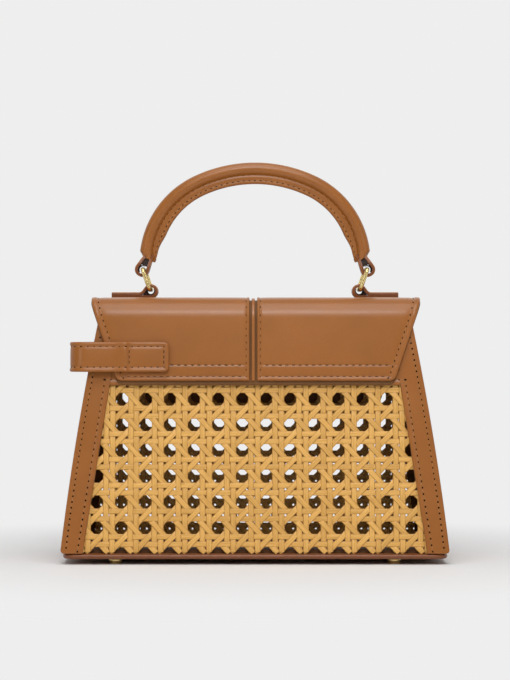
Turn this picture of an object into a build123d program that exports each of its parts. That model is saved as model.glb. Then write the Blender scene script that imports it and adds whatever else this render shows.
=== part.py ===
from build123d import *
import os
from math import atan, cos, radians, sin, tan

# Lengths are millimetres and angles are degrees. +Z is up, the floor is z = 0, -Y is the back of
# the bag, where the belt is sewn on, and +Y is its front, where the flap hangs down.

# Body, measured on the outer face of the leather
base_width = 222.4
base_depth = 96.0
rim_width = 179.0
rim_depth = 62.5
rim_height = 144.0
side_bulge = 1.6
lower_corner_radius = 4.0
lower_corner_height = 4.6
lower_corner_inset = 2.6

# Feet and base
foot_height = 3.2
foot_diameter = 7.4
foot_sole_diameter = 5.6
foot_stud_diameter = 2.4
foot_spacing_x = 160.0
foot_spacing_y = 72.0
washer_diameter = 9.0
washer_thickness = 0.6
base_leather_thickness = 3.2
base_corner_radius = 7.0
base_edge_radius = 1.1
base_inset = 1.2
base_board_thickness = 2.0
board_clearance = 0.5

# Leather frame round the window of webbing
frame_thickness = 1.4
frame_lining_thickness = 1.2
frame_lining_inset = 4.0
window_top = 102.4
window_top_width = 167.2
window_base_width = 196.8
window_corner_radius = 1.0

# Cane webbing: octagonal holes between pairs of upright and level strands
cane_thickness = 1.2
cane_ridge = 0.6
cane_margin = 5.4
cane_pitch_x = 13.85
cane_pitch_y = 14.75
cane_first_row = 8.0
cane_rows = 7
cane_shift = -0.45
upright_strand = 3.15
upright_gap = 0.7
level_strand = 2.85
level_gap = 1.2
diagonal_strand = 2.85

# Gussets
gusset_thickness = 1.4
gusset_flange = 5.4
gusset_fold_base = 1.0
gusset_fold_middle = 6.0
gusset_fold_top = 15.0
gusset_drop = 3.0

# Yoke and flap: one cover of lining and panels over the back, the top and the front
cover_top = 152.9
cover_lining_thickness = 1.2
cover_panel_thickness = 1.6
shoulder_radius = 9.0
cover_half_width = 94.8
cover_slant = 19.0
cover_slant_start = 149.0
cover_corner_radius = 3.0
yoke_drop = 103.3
flap_drop = 87.0
panel_inset_side = 0.6
panel_inset_base = 2.4
channel_width = 4.0
centre_strip_width = 1.9
centre_strip_thickness = 1.3
fold_gap = 0.2
body_clearance = 0.3

# Belt on the back and the tab that comes from the flap to meet it on the left side
belt_base = 110.0
belt_height = 17.2
belt_outer_thickness = 1.3
belt_lining_thickness = 1.5
belt_end = 49.3
belt_side = 106.5
belt_bend_radius = 9.0
belt_corner_radius = 2.6
belt_reach = 12.0
closure_reach = 14.0
magnet_diameter = 10.0
magnet_thickness = 1.0
magnet_clearance = 0.1

# Handle tabs, rings and loops
strap_leather = 1.7
strap_width = 12.0
tab_length = 23.0
tab_loop_x = 61.2
loop_hole_radius = 2.4
loop_blend_radius = 3.0
ring_wire = 2.4
ring_reach = 12.8
ring_lean = 19.0
ring_corner_radius = 2.0
ring_side_clearance = 0.5

# Handle: a padded roll with a sewn flange under it, bent to an arch of three arcs
handle_top = 233.0
handle_depth = 12.7
handle_crown_radius = 78.0
handle_crown_angle = 25.0
handle_side_radius = 50.0
handle_end_angle = 83.0
handle_roll_radius = 4.0
handle_flange_thickness = 3.8
handle_flange_blend = 1.2
handle_core_radius = 2.6
handle_core_clearance = 0.1
handle_neck_width = 9.2

# Places worked out from the sizes above
wall_foot = foot_height + base_leather_thickness
wall_lean = atan((base_depth - rim_depth) / 2 / (rim_height - wall_foot))
wall_skirt = 2.0
cane_outer_layer = -frame_thickness - cane_ridge
cane_inner_layer = cane_outer_layer - cane_thickness
cover_thickness = cover_lining_thickness + cover_panel_thickness
belt_thickness = belt_outer_thickness + belt_lining_thickness
loop_radius = loop_hole_radius + strap_leather
bar_seat = loop_hole_radius - ring_wire / 2 - body_clearance

back = -1
front = 1
left = -1
right = 1

os.makedirs("parts", exist_ok=True)


def save(part, name):
    """Label a finished piece and write it."""
    part.label = name
    export_step(part, f"parts/{name}.step")


def wall_plane(side, layer=0.0):
    """Outer face of the back or front wall, moved out by layer, with local Y up its slope."""
    normal = (0, side * cos(wall_lean), sin(wall_lean))
    face = Plane(origin=(0, side * base_depth / 2, wall_foot), x_dir=(-side, 0, 0), z_dir=normal)
    return face.offset(layer)


def wall_y(height, layer):
    """Distance from the middle of the bag to a layer of either wall at a height."""
    inward = (height - wall_foot) * tan(wall_lean)
    return base_depth / 2 - inward + layer / cos(wall_lean)


def up_slope(height):
    """Distance up the slope of a wall to a height."""
    return (height - wall_foot) / cos(wall_lean)


def half_width(height):
    """Half the width of the walls at a height, with the sides slightly bowed out."""
    share = (height - wall_foot) / (rim_height - wall_foot)
    straight = base_width + (rim_width - base_width) * share
    return straight / 2 + 4 * side_bulge * share * (1 - share)


def window_half_width(climb):
    """Half the width of the window at a distance up the slope."""
    share = climb / up_slope(window_top)
    return (window_base_width + (window_top_width - window_base_width) * share) / 2


def window_outline(margin):
    """Corners of the window, widened by margin, from below the foot of the wall."""
    top = up_slope(window_top)
    foot_half = window_half_width(-wall_skirt) + margin
    top_half = window_half_width(top) + margin
    return [(-foot_half, -wall_skirt), (foot_half, -wall_skirt), (top_half, top + margin),
            (-top_half, top + margin)]


def leather_frame(side, layer, thickness, inset):
    """One inverted U of leather round the window, with its outer edge moved in by inset."""
    middle = (wall_foot + rim_height) / 2
    foot_half = half_width(wall_foot) - inset
    middle_point = (half_width(middle) - inset, up_slope(middle))
    top_point = (half_width(rim_height) - inset, up_slope(rim_height) + wall_skirt)
    with BuildPart() as frame:
        with BuildSketch(wall_plane(side, layer)) as outline:
            with BuildLine():
                edge = ThreePointArc((foot_half, -thickness), middle_point, top_point)
                Line(edge @ 1, (-(edge @ 1).X, (edge @ 1).Y))
                ThreePointArc((-(edge @ 1).X, (edge @ 1).Y), (-middle_point[0], middle_point[1]),
                              (-foot_half, -thickness))
                Line((-foot_half, -thickness), edge @ 0)
            make_face()
            fillet(outline.vertices().group_by(Axis.Y)[0], lower_corner_radius)
            with BuildSketch(mode=Mode.SUBTRACT) as window:
                Polygon(*window_outline(0.0), align=None)
                fillet(window.vertices().group_by(Axis.Y)[-1], window_corner_radius)
        extrude(amount=-thickness)
        split(bisect_by=Plane.XY.offset(wall_foot), keep=Keep.TOP)
        split(bisect_by=Plane.XY.offset(rim_height), keep=Keep.BOTTOM)
    return frame.part


def cane_columns(climb):
    """Middles of the columns of holes that show in the window at a distance up the slope."""
    count = int(base_width / cane_pitch_x) // 2 + 1
    columns = [cane_shift + (number + 0.5) * cane_pitch_x for number in range(-count, count)]
    return [x for x in columns if abs(x) < window_half_width(climb) + upright_gap]


def cane_panel(side):
    """One panel of webbing: octagonal holes, with raised bands where pairs of strands run."""
    rows = [up_slope(window_top - cane_first_row) - row * cane_pitch_y for row in range(cane_rows)]
    count = int(base_width / cane_pitch_x) // 2 + 1
    upright_band = 2 * upright_strand + upright_gap
    level_band = 2 * level_strand + level_gap
    levels = [(0, rows[0] - (row + 0.5) * cane_pitch_y) for row in range(-1, cane_rows)]
    uprights = [(cane_shift + column * cane_pitch_x, rim_height / 2)
                for column in range(-count, count + 1)]
    holes = [(x, climb) for climb in rows for x in cane_columns(climb)]
    half_x = (cane_pitch_x - upright_band) / 2
    half_y = (cane_pitch_y - level_band) / 2
    diagonal = (cane_pitch_x + cane_pitch_y) / 4 - diagonal_strand / 2 ** 0.5
    with BuildPart() as panel:
        with BuildSketch(wall_plane(side, cane_outer_layer)):
            Polygon(*window_outline(cane_margin), align=None)
        extrude(amount=-cane_thickness)
        with BuildSketch(wall_plane(side, cane_outer_layer)):
            with Locations(*levels):
                Rectangle(base_width, level_band)
            with Locations(*uprights):
                Rectangle(upright_band, 2 * rim_height)
            Polygon(*window_outline(cane_margin), align=None, mode=Mode.INTERSECT)
        extrude(amount=cane_ridge)
        with BuildSketch(wall_plane(side, cane_outer_layer + cane_ridge)):
            with Locations(*holes):
                Polygon((half_x, half_x - diagonal), (half_x, diagonal - half_x),
                        (diagonal - half_y, half_y), (half_y - diagonal, half_y),
                        (-half_x, diagonal - half_x), (-half_x, half_x - diagonal),
                        (half_y - diagonal, -half_y), (diagonal - half_y, -half_y), align=None)
        extrude(amount=-cane_thickness - cane_ridge, mode=Mode.SUBTRACT)
        split(bisect_by=Plane.XY.offset(wall_foot), keep=Keep.TOP)
    return panel.part


def gusset_section(height, inset, fold):
    """Corners of the folded side leather at a height, for the right side."""
    edge = half_width(height) - inset
    outer = wall_y(height, -frame_thickness)
    inner = wall_y(height, -frame_thickness - gusset_thickness)
    flange = half_width(height) - gusset_flange
    return [(flange, -outer), (edge, -outer), (edge - fold, 0), (edge, outer), (flange, outer),
            (flange, inner), (edge - gusset_thickness, inner), (edge - fold - gusset_thickness, 0),
            (edge - gusset_thickness, -inner), (flange, -inner)]


def gusset(side):
    """One side of the bag: a strip folded inwards in the middle, with flanges behind the frames."""
    top = rim_height - gusset_drop
    middle = (wall_foot + top) / 2
    corner = wall_foot + lower_corner_height
    levels = [(wall_foot, lower_corner_inset, gusset_fold_base), (corner, 0, gusset_fold_base),
              (middle, 0, gusset_fold_middle), (top, 0, gusset_fold_top)]
    with BuildPart() as strip:
        for height, inset, fold in levels:
            with BuildSketch(Plane.XY.offset(height)):
                Polygon(*gusset_section(height, inset, fold), align=None)
        loft(ruled=True)
    return strip.part if side == right else strip.part.mirror(Plane.YZ)


def cover_corners(layer, yoke_end, flap_end):
    """Path of one layer of the cover in the YZ plane, from the back over the top to the front."""
    top = cover_top - cover_thickness + layer
    gap = body_clearance
    return [(-wall_y(yoke_end, layer), yoke_end), (-wall_y(top, layer), top),
            (wall_y(top, layer + gap), top), (wall_y(flap_end, layer + gap), flap_end)]


def cover_radius(layer):
    """Radius of the rounded shoulder at one layer of the cover."""
    return shoulder_radius - cover_thickness + layer


def fold_plane(offset=0.0):
    """Radial plane through the middle of the back shoulder, where the flap bends away."""
    centre_z = cover_top - shoulder_radius
    centre_y = -wall_y(centre_z, cover_thickness) + shoulder_radius / cos(wall_lean)
    middle = (radians(90) + wall_lean) / 2
    plane = Plane(origin=(0, centre_y, centre_z), x_dir=(1, 0, 0), z_dir=(0, sin(middle), cos(middle)))
    return plane.offset(offset)


def cover_outline(inset_side, bottom):
    """Corners of the yoke or flap as seen from behind, down to the height of its lower edge."""
    half_top = cover_half_width - inset_side
    slope = tan(radians(cover_slant))
    half_bottom = half_top - (cover_slant_start - bottom) * slope
    top = cover_top + shoulder_radius
    return [(-half_top, top), (-half_top, cover_slant_start), (-half_bottom, bottom),
            (half_bottom, bottom), (half_top, cover_slant_start), (half_top, top)]


def cover_piece(layers, x_range, inset_side, bottom, is_flap):
    """One piece of the yoke or the flap, between two layers and two widths."""
    inner_layer, outer_layer = layers
    x_from, x_to = x_range
    low_end = bottom - cover_corner_radius
    with BuildPart() as piece:
        with BuildSketch(Plane.YZ.offset(x_from)):
            with BuildLine():
                outer = FilletPolyline(*cover_corners(outer_layer, low_end, low_end),
                                       radius=cover_radius(outer_layer))
                inner = FilletPolyline(*cover_corners(inner_layer, low_end, low_end),
                                       radius=cover_radius(inner_layer))
                Line(outer @ 0, inner @ 0)
                Line(outer @ 1, inner @ 1)
            make_face()
        extrude(amount=x_to - x_from)
        with BuildSketch(Plane.XZ) as outline:
            Polygon(*cover_outline(inset_side, bottom), align=None)
            fillet(outline.vertices().group_by(Axis.Y)[0], cover_corner_radius)
        extrude(amount=base_depth, both=True, mode=Mode.INTERSECT)
        if is_flap:
            split(bisect_by=fold_plane(fold_gap / 2), keep=Keep.TOP)
        else:
            split(bisect_by=fold_plane(-fold_gap / 2), keep=Keep.BOTTOM)
    return piece.part


def belt_band(side, first_layer, thickness, side_face, reach, has_pocket):
    """One layer of leather along a wall and round the left side of the bag."""
    wall_in = wall_y(belt_base, first_layer)
    wall_out = wall_y(belt_base, first_layer + thickness)
    inner_radius = belt_bend_radius - (belt_side - side_face) - thickness
    outer_radius = inner_radius + thickness
    rise = (0, -side * sin(wall_lean), cos(wall_lean))
    with BuildPart() as band:
        with BuildSketch(Plane.XY.offset(belt_base)):
            with BuildLine():
                outer = FilletPolyline((-belt_end, side * wall_out), (-side_face, side * wall_out),
                                       (-side_face, -side * reach), radius=outer_radius)
                inner = FilletPolyline((-belt_end, side * wall_in),
                                       (-side_face + thickness, side * wall_in),
                                       (-side_face + thickness, -side * reach), radius=inner_radius)
                Line(outer @ 0, inner @ 0)
                Line(outer @ 1, inner @ 1)
            make_face()
        extrude(amount=belt_height / cos(wall_lean), dir=rise)
        sewn_end = band.edges().filter_by(Axis.Y).group_by(Axis.X)[-1]
        fillet(sewn_end, belt_corner_radius)
        if has_pocket:
            with BuildSketch(Plane.YZ.offset(-side_face)):
                with Locations(magnet_place):
                    Circle(magnet_diameter / 2 + magnet_clearance)
            extrude(amount=magnet_thickness + magnet_clearance, mode=Mode.SUBTRACT)
    return band.part


def magnet(face):
    """Flat round magnet in the pocket of a lining whose outer face is at -face."""
    with BuildPart() as disc:
        with BuildSketch(Plane.YZ.offset(-face)):
            with Locations(magnet_place):
                Circle(magnet_diameter / 2)
        extrude(amount=magnet_thickness)
    return disc.part


def foot(side_x, side_y):
    """Turned metal foot with a flat sole and a stud that goes up through the base."""
    stud_top = wall_foot + base_board_thickness + washer_thickness
    with BuildPart() as turned:
        with BuildSketch(Plane.XZ):
            with BuildLine():
                Polyline((0, 0), (foot_sole_diameter / 2, 0))
                ThreePointArc((foot_sole_diameter / 2, 0), (foot_diameter / 2, foot_height * 0.55),
                              (foot_diameter / 2 - foot_height * 0.1, foot_height))
                Polyline((foot_diameter / 2 - foot_height * 0.1, foot_height),
                         (foot_stud_diameter / 2, foot_height), (foot_stud_diameter / 2, stud_top),
                         (0, stud_top), (0, 0))
            make_face()
        revolve(axis=Axis.Z)
    return turned.part.moved(Location((side_x * foot_spacing_x / 2, side_y * foot_spacing_y / 2, 0)))


def ring_direction(side):
    """Unit vector up along the leaning ring of one side."""
    return Vector(side * sin(radians(ring_lean)), 0, cos(radians(ring_lean)))


def tab_loop_centre(side):
    """Middle of the loop in the handle tab of one side."""
    return Vector(side * tab_loop_x, 0, cover_top + loop_radius)


def lower_bar(side):
    """Axis of the ring's lower bar, held up against the top of its loop."""
    return tab_loop_centre(side) + ring_direction(side) * bar_seat


def upper_bar(side):
    """Axis of the ring's upper bar."""
    return lower_bar(side) + ring_direction(side) * ring_reach


def handle_loop_centre(side):
    """Middle of the loop at the end of the handle."""
    return upper_bar(side) + ring_direction(side) * bar_seat


def handle_tab(side):
    """Strip of leather doubled round the ring's lower bar and sewn flat on the top of the flap."""
    centre = tab_loop_centre(side)
    outer_end = centre.X + side * tab_length
    floor = cover_top
    with BuildPart() as tab:
        with BuildSketch(Plane.XZ) as section:
            with BuildSketch():
                Polygon((centre.X, floor), (outer_end, floor), (outer_end, floor + 2 * strap_leather),
                        (centre.X, floor + 2 * strap_leather), align=None)
            with Locations((centre.X, centre.Z)):
                Circle(loop_radius)
            inside_corner = section.vertices().sort_by_distance(
                (centre.X + side * loop_radius, floor + 2 * strap_leather))[0]
            fillet(inside_corner, loop_blend_radius)
            with Locations((centre.X, centre.Z)):
                Circle(loop_hole_radius, mode=Mode.SUBTRACT)
        extrude(amount=strap_width / 2, both=True)
    return tab.part


def ring(side):
    """Rectangular ring of round wire, leaning outwards between its two loops."""
    start = lower_bar(side)
    end = upper_bar(side)
    width = strap_width + 2 * ring_side_clearance + ring_wire
    middle = (start + end) * 0.5
    ring_plane = Plane(origin=middle, x_dir=(0, 1, 0), z_dir=ring_direction(side).cross(Vector(0, 1, 0)))
    with BuildPart() as wire:
        with BuildLine(ring_plane) as path:
            FilletPolyline((width / 2, -ring_reach / 2), (width / 2, ring_reach / 2),
                           (-width / 2, ring_reach / 2), (-width / 2, -ring_reach / 2),
                           radius=ring_corner_radius, close=True)
        with BuildSketch(Plane(origin=path.wire() @ 0, z_dir=path.wire() % 0)):
            Circle(ring_wire / 2)
        sweep()
    return wire.part


def handle_arcs():
    """Middle line of the handle as three tangent arcs, from its right end to its left end."""
    crown_middle = handle_top - handle_depth / 2 - handle_crown_radius
    shift = handle_crown_radius - handle_side_radius
    side_x = shift * sin(radians(handle_crown_angle))
    side_z = crown_middle + shift * cos(radians(handle_crown_angle))
    side_sweep = handle_end_angle - handle_crown_angle
    CenterArc((side_x, side_z), handle_side_radius, 90 - handle_end_angle, side_sweep)
    CenterArc((0, crown_middle), handle_crown_radius, 90 - handle_crown_angle, 2 * handle_crown_angle)
    CenterArc((-side_x, side_z), handle_side_radius, 90 + handle_crown_angle, side_sweep)


def handle_neck(side, end_plane):
    """Leather end of the handle, doubled round the ring's upper bar and sewn to the grip."""
    centre = handle_loop_centre(side)
    half_neck = end_plane.y_dir * (handle_neck_width / 2)
    outer_corner = end_plane.origin + half_neck
    inner_corner = end_plane.origin - half_neck
    across = (end_plane.origin - centre).normalized().cross(Vector(0, side, 0)) * loop_radius
    inner_tangent = centre + across
    outer_tangent = centre - across
    with BuildPart() as neck:
        with BuildSketch(Plane.XZ):
            Polygon((outer_corner.X, outer_corner.Z), (inner_corner.X, inner_corner.Z),
                    (inner_tangent.X, inner_tangent.Z), (outer_tangent.X, outer_tangent.Z), align=None)
            with Locations((centre.X, centre.Z)):
                Circle(loop_radius)
                Circle(loop_hole_radius, mode=Mode.SUBTRACT)
        extrude(amount=strap_width / 2, both=True)
    return neck.part


# Base leather with a soft lower edge and holes for the studs of the feet
foot_places = GridLocations(foot_spacing_x, foot_spacing_y, 2, 2)
with BuildPart() as base_leather:
    with BuildSketch(Plane.XY.offset(foot_height)):
        RectangleRounded(base_width - 2 * base_inset, base_depth, base_corner_radius)
    extrude(amount=base_leather_thickness)
    fillet(base_leather.edges().group_by(Axis.Z)[0], base_edge_radius)
    with BuildSketch(Plane.XY.offset(foot_height)):
        with foot_places:
            Circle(foot_stud_diameter / 2 + magnet_clearance)
    extrude(amount=base_leather_thickness, mode=Mode.SUBTRACT)
save(base_leather.part, "base_leather")

# Stiff board on the base, inside the walls
board_width = 2 * (half_width(wall_foot) - lower_corner_inset - gusset_fold_base - gusset_thickness
                   - board_clearance)
board_depth = 2 * (wall_y(wall_foot + base_board_thickness, cane_inner_layer - frame_lining_thickness)
                   - board_clearance)
with BuildPart() as base_board:
    with BuildSketch(Plane.XY.offset(wall_foot)):
        Rectangle(board_width - 2 * gusset_flange, board_depth)
        with foot_places:
            Circle(foot_stud_diameter / 2 + magnet_clearance, mode=Mode.SUBTRACT)
    extrude(amount=base_board_thickness)
save(base_board.part, "base_board")

# Feet and their washers on the board
for side_y, row_name in ((back, "back"), (front, "front")):
    for side_x, side_name in ((left, "left"), (right, "right")):
        save(foot(side_x, side_y), f"foot_{row_name}_{side_name}")

with BuildPart() as foot_washers:
    with BuildSketch(Plane.XY.offset(wall_foot + base_board_thickness)):
        with foot_places:
            Circle(washer_diameter / 2)
            Circle(foot_stud_diameter / 2 + magnet_clearance, mode=Mode.SUBTRACT)
    extrude(amount=washer_thickness)
save(foot_washers.part, "foot_washers")

# Walls: leather frame outside, webbing, lining strip inside
for side_y, wall_name in ((back, "back"), (front, "front")):
    save(leather_frame(side_y, 0.0, frame_thickness, 0.0), f"{wall_name}_frame")
    save(cane_panel(side_y), f"{wall_name}_cane")
    save(leather_frame(side_y, cane_inner_layer, frame_lining_thickness, frame_lining_inset),
         f"{wall_name}_frame_lining")

# Gussets
for side_x, side_name in ((left, "left"), (right, "right")):
    save(gusset(side_x), f"gusset_{side_name}")

# Yoke on the back wall, and the flap that goes on from it over the top and down the front
lining_layers = (0.0, cover_lining_thickness)
panel_layers = (cover_lining_thickness, cover_thickness)
strip_layers = (cover_lining_thickness, cover_lining_thickness + centre_strip_thickness)
full_range = (-cover_half_width, cover_half_width)
left_range = (-cover_half_width, -channel_width / 2)
right_range = (channel_width / 2, cover_half_width)
strip_range = (-centre_strip_width / 2, centre_strip_width / 2)
for cover_name, lower_edge, is_flap in (("yoke", yoke_drop, False), ("flap", flap_drop, True)):
    panel_edge = lower_edge + panel_inset_base
    save(cover_piece(lining_layers, full_range, 0.0, lower_edge, is_flap), f"{cover_name}_lining")
    save(cover_piece(panel_layers, left_range, panel_inset_side, panel_edge, is_flap),
         f"{cover_name}_left_panel")
    save(cover_piece(panel_layers, right_range, panel_inset_side, panel_edge, is_flap),
         f"{cover_name}_right_panel")
    save(cover_piece(strip_layers, strip_range, panel_inset_side, panel_edge, is_flap),
         f"{cover_name}_centre_strip")

# Belt sewn on the yoke, and the tab sewn on the flap, which lies inside the belt on the left side
magnet_place = ((belt_reach - closure_reach) / 2, belt_base + belt_height / 2)
belt_lining_face = belt_side - belt_outer_thickness
closure_side = belt_side - belt_thickness - body_clearance
closure_lining_face = closure_side - belt_outer_thickness
flap_face = cover_thickness + body_clearance
save(belt_band(back, cover_thickness, belt_lining_thickness, belt_lining_face, belt_reach, True),
     "belt_lining")
save(belt_band(back, cover_thickness + belt_lining_thickness, belt_outer_thickness, belt_side,
               belt_reach, False), "belt_outer")
save(magnet(belt_lining_face), "belt_magnet")
save(belt_band(front, flap_face, belt_lining_thickness, closure_lining_face, closure_reach, True),
     "closure_tab_lining")
save(belt_band(front, flap_face + belt_lining_thickness, belt_outer_thickness, closure_side,
               closure_reach, False), "closure_tab_outer")
save(magnet(closure_lining_face), "closure_tab_magnet")

# Handle tabs and rings
for side_x, side_name in ((left, "left"), (right, "right")):
    save(handle_tab(side_x), f"handle_tab_{side_name}")
    save(ring(side_x), f"ring_{side_name}")

# Handle cover, a tube of leather over the core with the sewn flange under it
roll_offset = handle_depth / 2 - handle_roll_radius
with BuildPart() as handle_cover:
    with BuildLine(Plane.XZ) as grip_line:
        handle_arcs()
    right_end = Plane(origin=grip_line.wire() @ 0, x_dir=(0, -1, 0), z_dir=grip_line.wire() % 0)
    left_end = Plane(origin=grip_line.wire() @ 1, x_dir=(0, -1, 0), z_dir=grip_line.wire() % 1)
    with BuildSketch(right_end) as grip_section:
        with Locations((0, roll_offset)):
            Circle(handle_roll_radius)
        with Locations((0, (roll_offset - handle_depth / 2) / 2)):
            Rectangle(handle_flange_thickness, roll_offset + handle_depth / 2)
        creases = grip_section.vertices().sort_by(Axis.Y)[2:4]
        fillet(creases, handle_flange_blend)
        with Locations((0, roll_offset)):
            Circle(handle_core_radius + handle_core_clearance, mode=Mode.SUBTRACT)
    sweep()
save(handle_cover.part, "handle_cover")

with BuildPart() as handle_core:
    with BuildLine(Plane.XZ) as core_line:
        handle_arcs()
    with BuildSketch(right_end):
        with Locations((0, roll_offset)):
            Circle(handle_core_radius)
    sweep()
save(handle_core.part, "handle_core")

for side_x, side_name, end_plane in ((left, "left", left_end), (right, "right", right_end)):
    save(handle_neck(side_x, end_plane), f"handle_loop_{side_name}")
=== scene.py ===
"""Finished surfaces of a leather and cane bag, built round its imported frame."""

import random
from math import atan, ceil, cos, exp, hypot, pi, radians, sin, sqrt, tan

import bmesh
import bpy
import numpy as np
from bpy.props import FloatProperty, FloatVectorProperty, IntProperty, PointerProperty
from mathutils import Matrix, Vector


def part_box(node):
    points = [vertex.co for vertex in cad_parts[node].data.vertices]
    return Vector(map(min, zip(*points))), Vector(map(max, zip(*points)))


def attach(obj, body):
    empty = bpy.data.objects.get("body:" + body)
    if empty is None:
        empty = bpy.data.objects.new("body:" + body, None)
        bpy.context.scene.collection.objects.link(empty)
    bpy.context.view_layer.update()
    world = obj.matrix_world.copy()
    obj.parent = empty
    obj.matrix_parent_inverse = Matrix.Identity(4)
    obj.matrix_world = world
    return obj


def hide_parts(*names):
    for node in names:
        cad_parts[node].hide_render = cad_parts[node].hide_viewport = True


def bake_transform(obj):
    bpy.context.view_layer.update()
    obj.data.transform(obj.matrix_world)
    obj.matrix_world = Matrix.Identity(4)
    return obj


bl_info = {
    "name": "Leather and Cane Bag",
    "version": (1, 0, 0),
    "blender": (4, 5, 0),
    "location": "3D View > Sidebar > Bag",
    "description": "Builds the leather, cane, stitching and metal of a small top-handle bag",
    "category": "Object",
}

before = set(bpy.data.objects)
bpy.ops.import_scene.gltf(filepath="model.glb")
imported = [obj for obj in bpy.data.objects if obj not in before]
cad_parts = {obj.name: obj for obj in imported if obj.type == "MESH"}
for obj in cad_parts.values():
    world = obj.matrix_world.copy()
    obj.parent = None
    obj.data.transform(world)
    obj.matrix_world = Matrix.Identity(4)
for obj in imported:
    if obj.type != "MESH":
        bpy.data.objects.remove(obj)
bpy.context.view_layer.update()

MM = 0.001
BACK = -1
FRONT = 1
LEFT = -1
RIGHT = 1
WALLS = ((BACK, "back"), (FRONT, "front"))
SIDES = ((LEFT, "left"), (RIGHT, "right"))
PAINTED_LEATHER = ("calf_leather", "edge_paint")
PAINTED_LINING = ("lining", "edge_paint")
# A margin that is too wide to matter
FAR = 40.0

# Walls, in millimetres, as the frame has them
BASE_WIDTH = 222.4
BASE_DEPTH = 96.0
RIM_WIDTH = 179.0
RIM_DEPTH = 62.5
RIM_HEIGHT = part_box("back_frame")[1].z / MM
SIDE_BULGE = 1.6
CORNER_RADIUS = 2.4
WALL_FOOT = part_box("base_leather")[1].z / MM
WALL_LEAN = atan((BASE_DEPTH - RIM_DEPTH) / 2 / (RIM_HEIGHT - WALL_FOOT))
BASE_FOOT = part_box("base_leather")[0].z / MM
BASE_INSET = 1.0
BASE_CORNER = 7.0
BASE_STEP = 2.0
# The edging of the base as inset and rise, from under the base up to the foot of the walls
BASE_PROFILE = ((3.0, 0.0), (1.9, 0.0), (1.1, 0.12), (0.55, 0.4), (0.2, 0.85), (0.0, 1.4),
                (0.05, 1.9), (0.3, 2.35), (0.8, 2.65), (1.6, 2.8), (2.6, WALL_FOOT - BASE_FOOT),
                (3.4, WALL_FOOT - BASE_FOOT))
WINDOW_TOP = 102.4
WINDOW_TOP_WIDTH = 167.2
WINDOW_BASE_WIDTH = 196.8
FRAME_THICKNESS = 1.4
FRAME_ROW = 3.1

# Gussets
GUSSET_THICKNESS = 1.4
GUSSET_FLANGE = 5.4
GUSSET_FOLDS = (1.0, 6.0, 15.0)
GUSSET_DROP = 3.0
GUSSET_BEND = 1.9
GUSSET_LEVELS = 40
GUSSET_STEPS = 60
LOWER_INSET = 1.8
LOWER_CORNER = 4.6

# Webbing
CANE_LAYER = -2.25
CANE_MARGIN = 5.2
PITCH_X = 13.85
PITCH_Y = 14.75
FIRST_ROW = 8.0
ROWS = 7
CANE_SHIFT = -0.45
UPRIGHT_GAP = 0.35
LEVEL_GAP = 1.2
CANE_FOOT = -0.4
STRAND_STEP = 1.5
STRAND_SECTION = ((-0.5, 0.0), (-0.47, 0.3), (-0.36, 0.44), (0.0, 0.5), (0.36, 0.44), (0.47, 0.3),
                  (0.5, 0.0), (0.4, -0.45), (-0.4, -0.45))
WEAVE_RISE = 0.62
STRAND_PLAY = 0.12
STRAND_SKEW = 0.2
DIAGONAL_PLAY = 0.1

# Yoke and flap
COVER_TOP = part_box("flap_left_panel")[1].z / MM
LINING_THICKNESS = 1.2
PANEL_THICKNESS = 1.6
SHOULDER_RADIUS = 12.0
COVER_HALF_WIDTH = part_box("flap_lining")[1].x / MM
COVER_SLANT = radians(19.0)
SLANT_START = 149.0
COVER_CORNER = 3.0
COVER_SKEW = 0.9
YOKE_EDGE = 102.3
FLAP_EDGE = 87.0
PANEL_INSET_SIDE = 0.2
PANEL_INSET_BASE = 2.3
CHANNEL_WIDTH = 4.4
CHANNEL_SHIFT = -1.0
SIDE_ROW = 3.8
CHANNEL_ROW = 1.8
BASE_ROW = 2.4
UPPER_ROW = 9.0
COVER_STEP = 2.0
SIDE_PITCH = 3.35
CHANNEL_PITCH = 3.9
LEVEL_PITCH = 3.8
STRIP_WIDTH = 1.9
STRIP_THICKNESS = 1.3
CLEARANCE = 0.3

# Belt and closure tab
BELT_BASE = 110.0
BELT_HEIGHT = 17.2
BELT_OUTER = 1.3
BELT_LINING = 1.5
BELT_END = 49.3
BELT_SIDE = 106.5
BELT_BEND = 9.0
BELT_REACH = 12.0
CLOSURE_REACH = 14.0
BOX_NEAR = 2.9
BOX_FAR = 22.9
BOX_PITCH = 3.0
BELT_ROW = 2.6
BELT_CORNER = 3.2

# Tabs, rings and handle
STRAP = 1.7
STRAP_WIDTH = 12.0
STRAP_ROW = 1.9
TAB_PITCH = 3.2
TAB_ROW_START = 2.0
TAB_ROW_LENGTH = 13.0
FILLER_INSET = 0.8
TAB_FILLER = ((1.95, 1.25), (1.95, -1.0), (1.3, -1.6), (0.4, -1.9), (0.2, -2.45), (4.6, -2.45))
TAB_LENGTH = 23.0
TAB_X = 61.2
HOLE_RADIUS = 2.4
LOOP_BLEND = 4.2
RING_WIRE = 2.4
POLISHED_WIRE = 2.26
RING_REACH = 12.8
RING_LEAN = radians(19.0)
RING_TWIST = radians(3.0)
RING_CORNER = 2.0
RING_PLAY = 0.5
RING_STEPS = 160
WIRE_SIDES = 20
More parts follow.
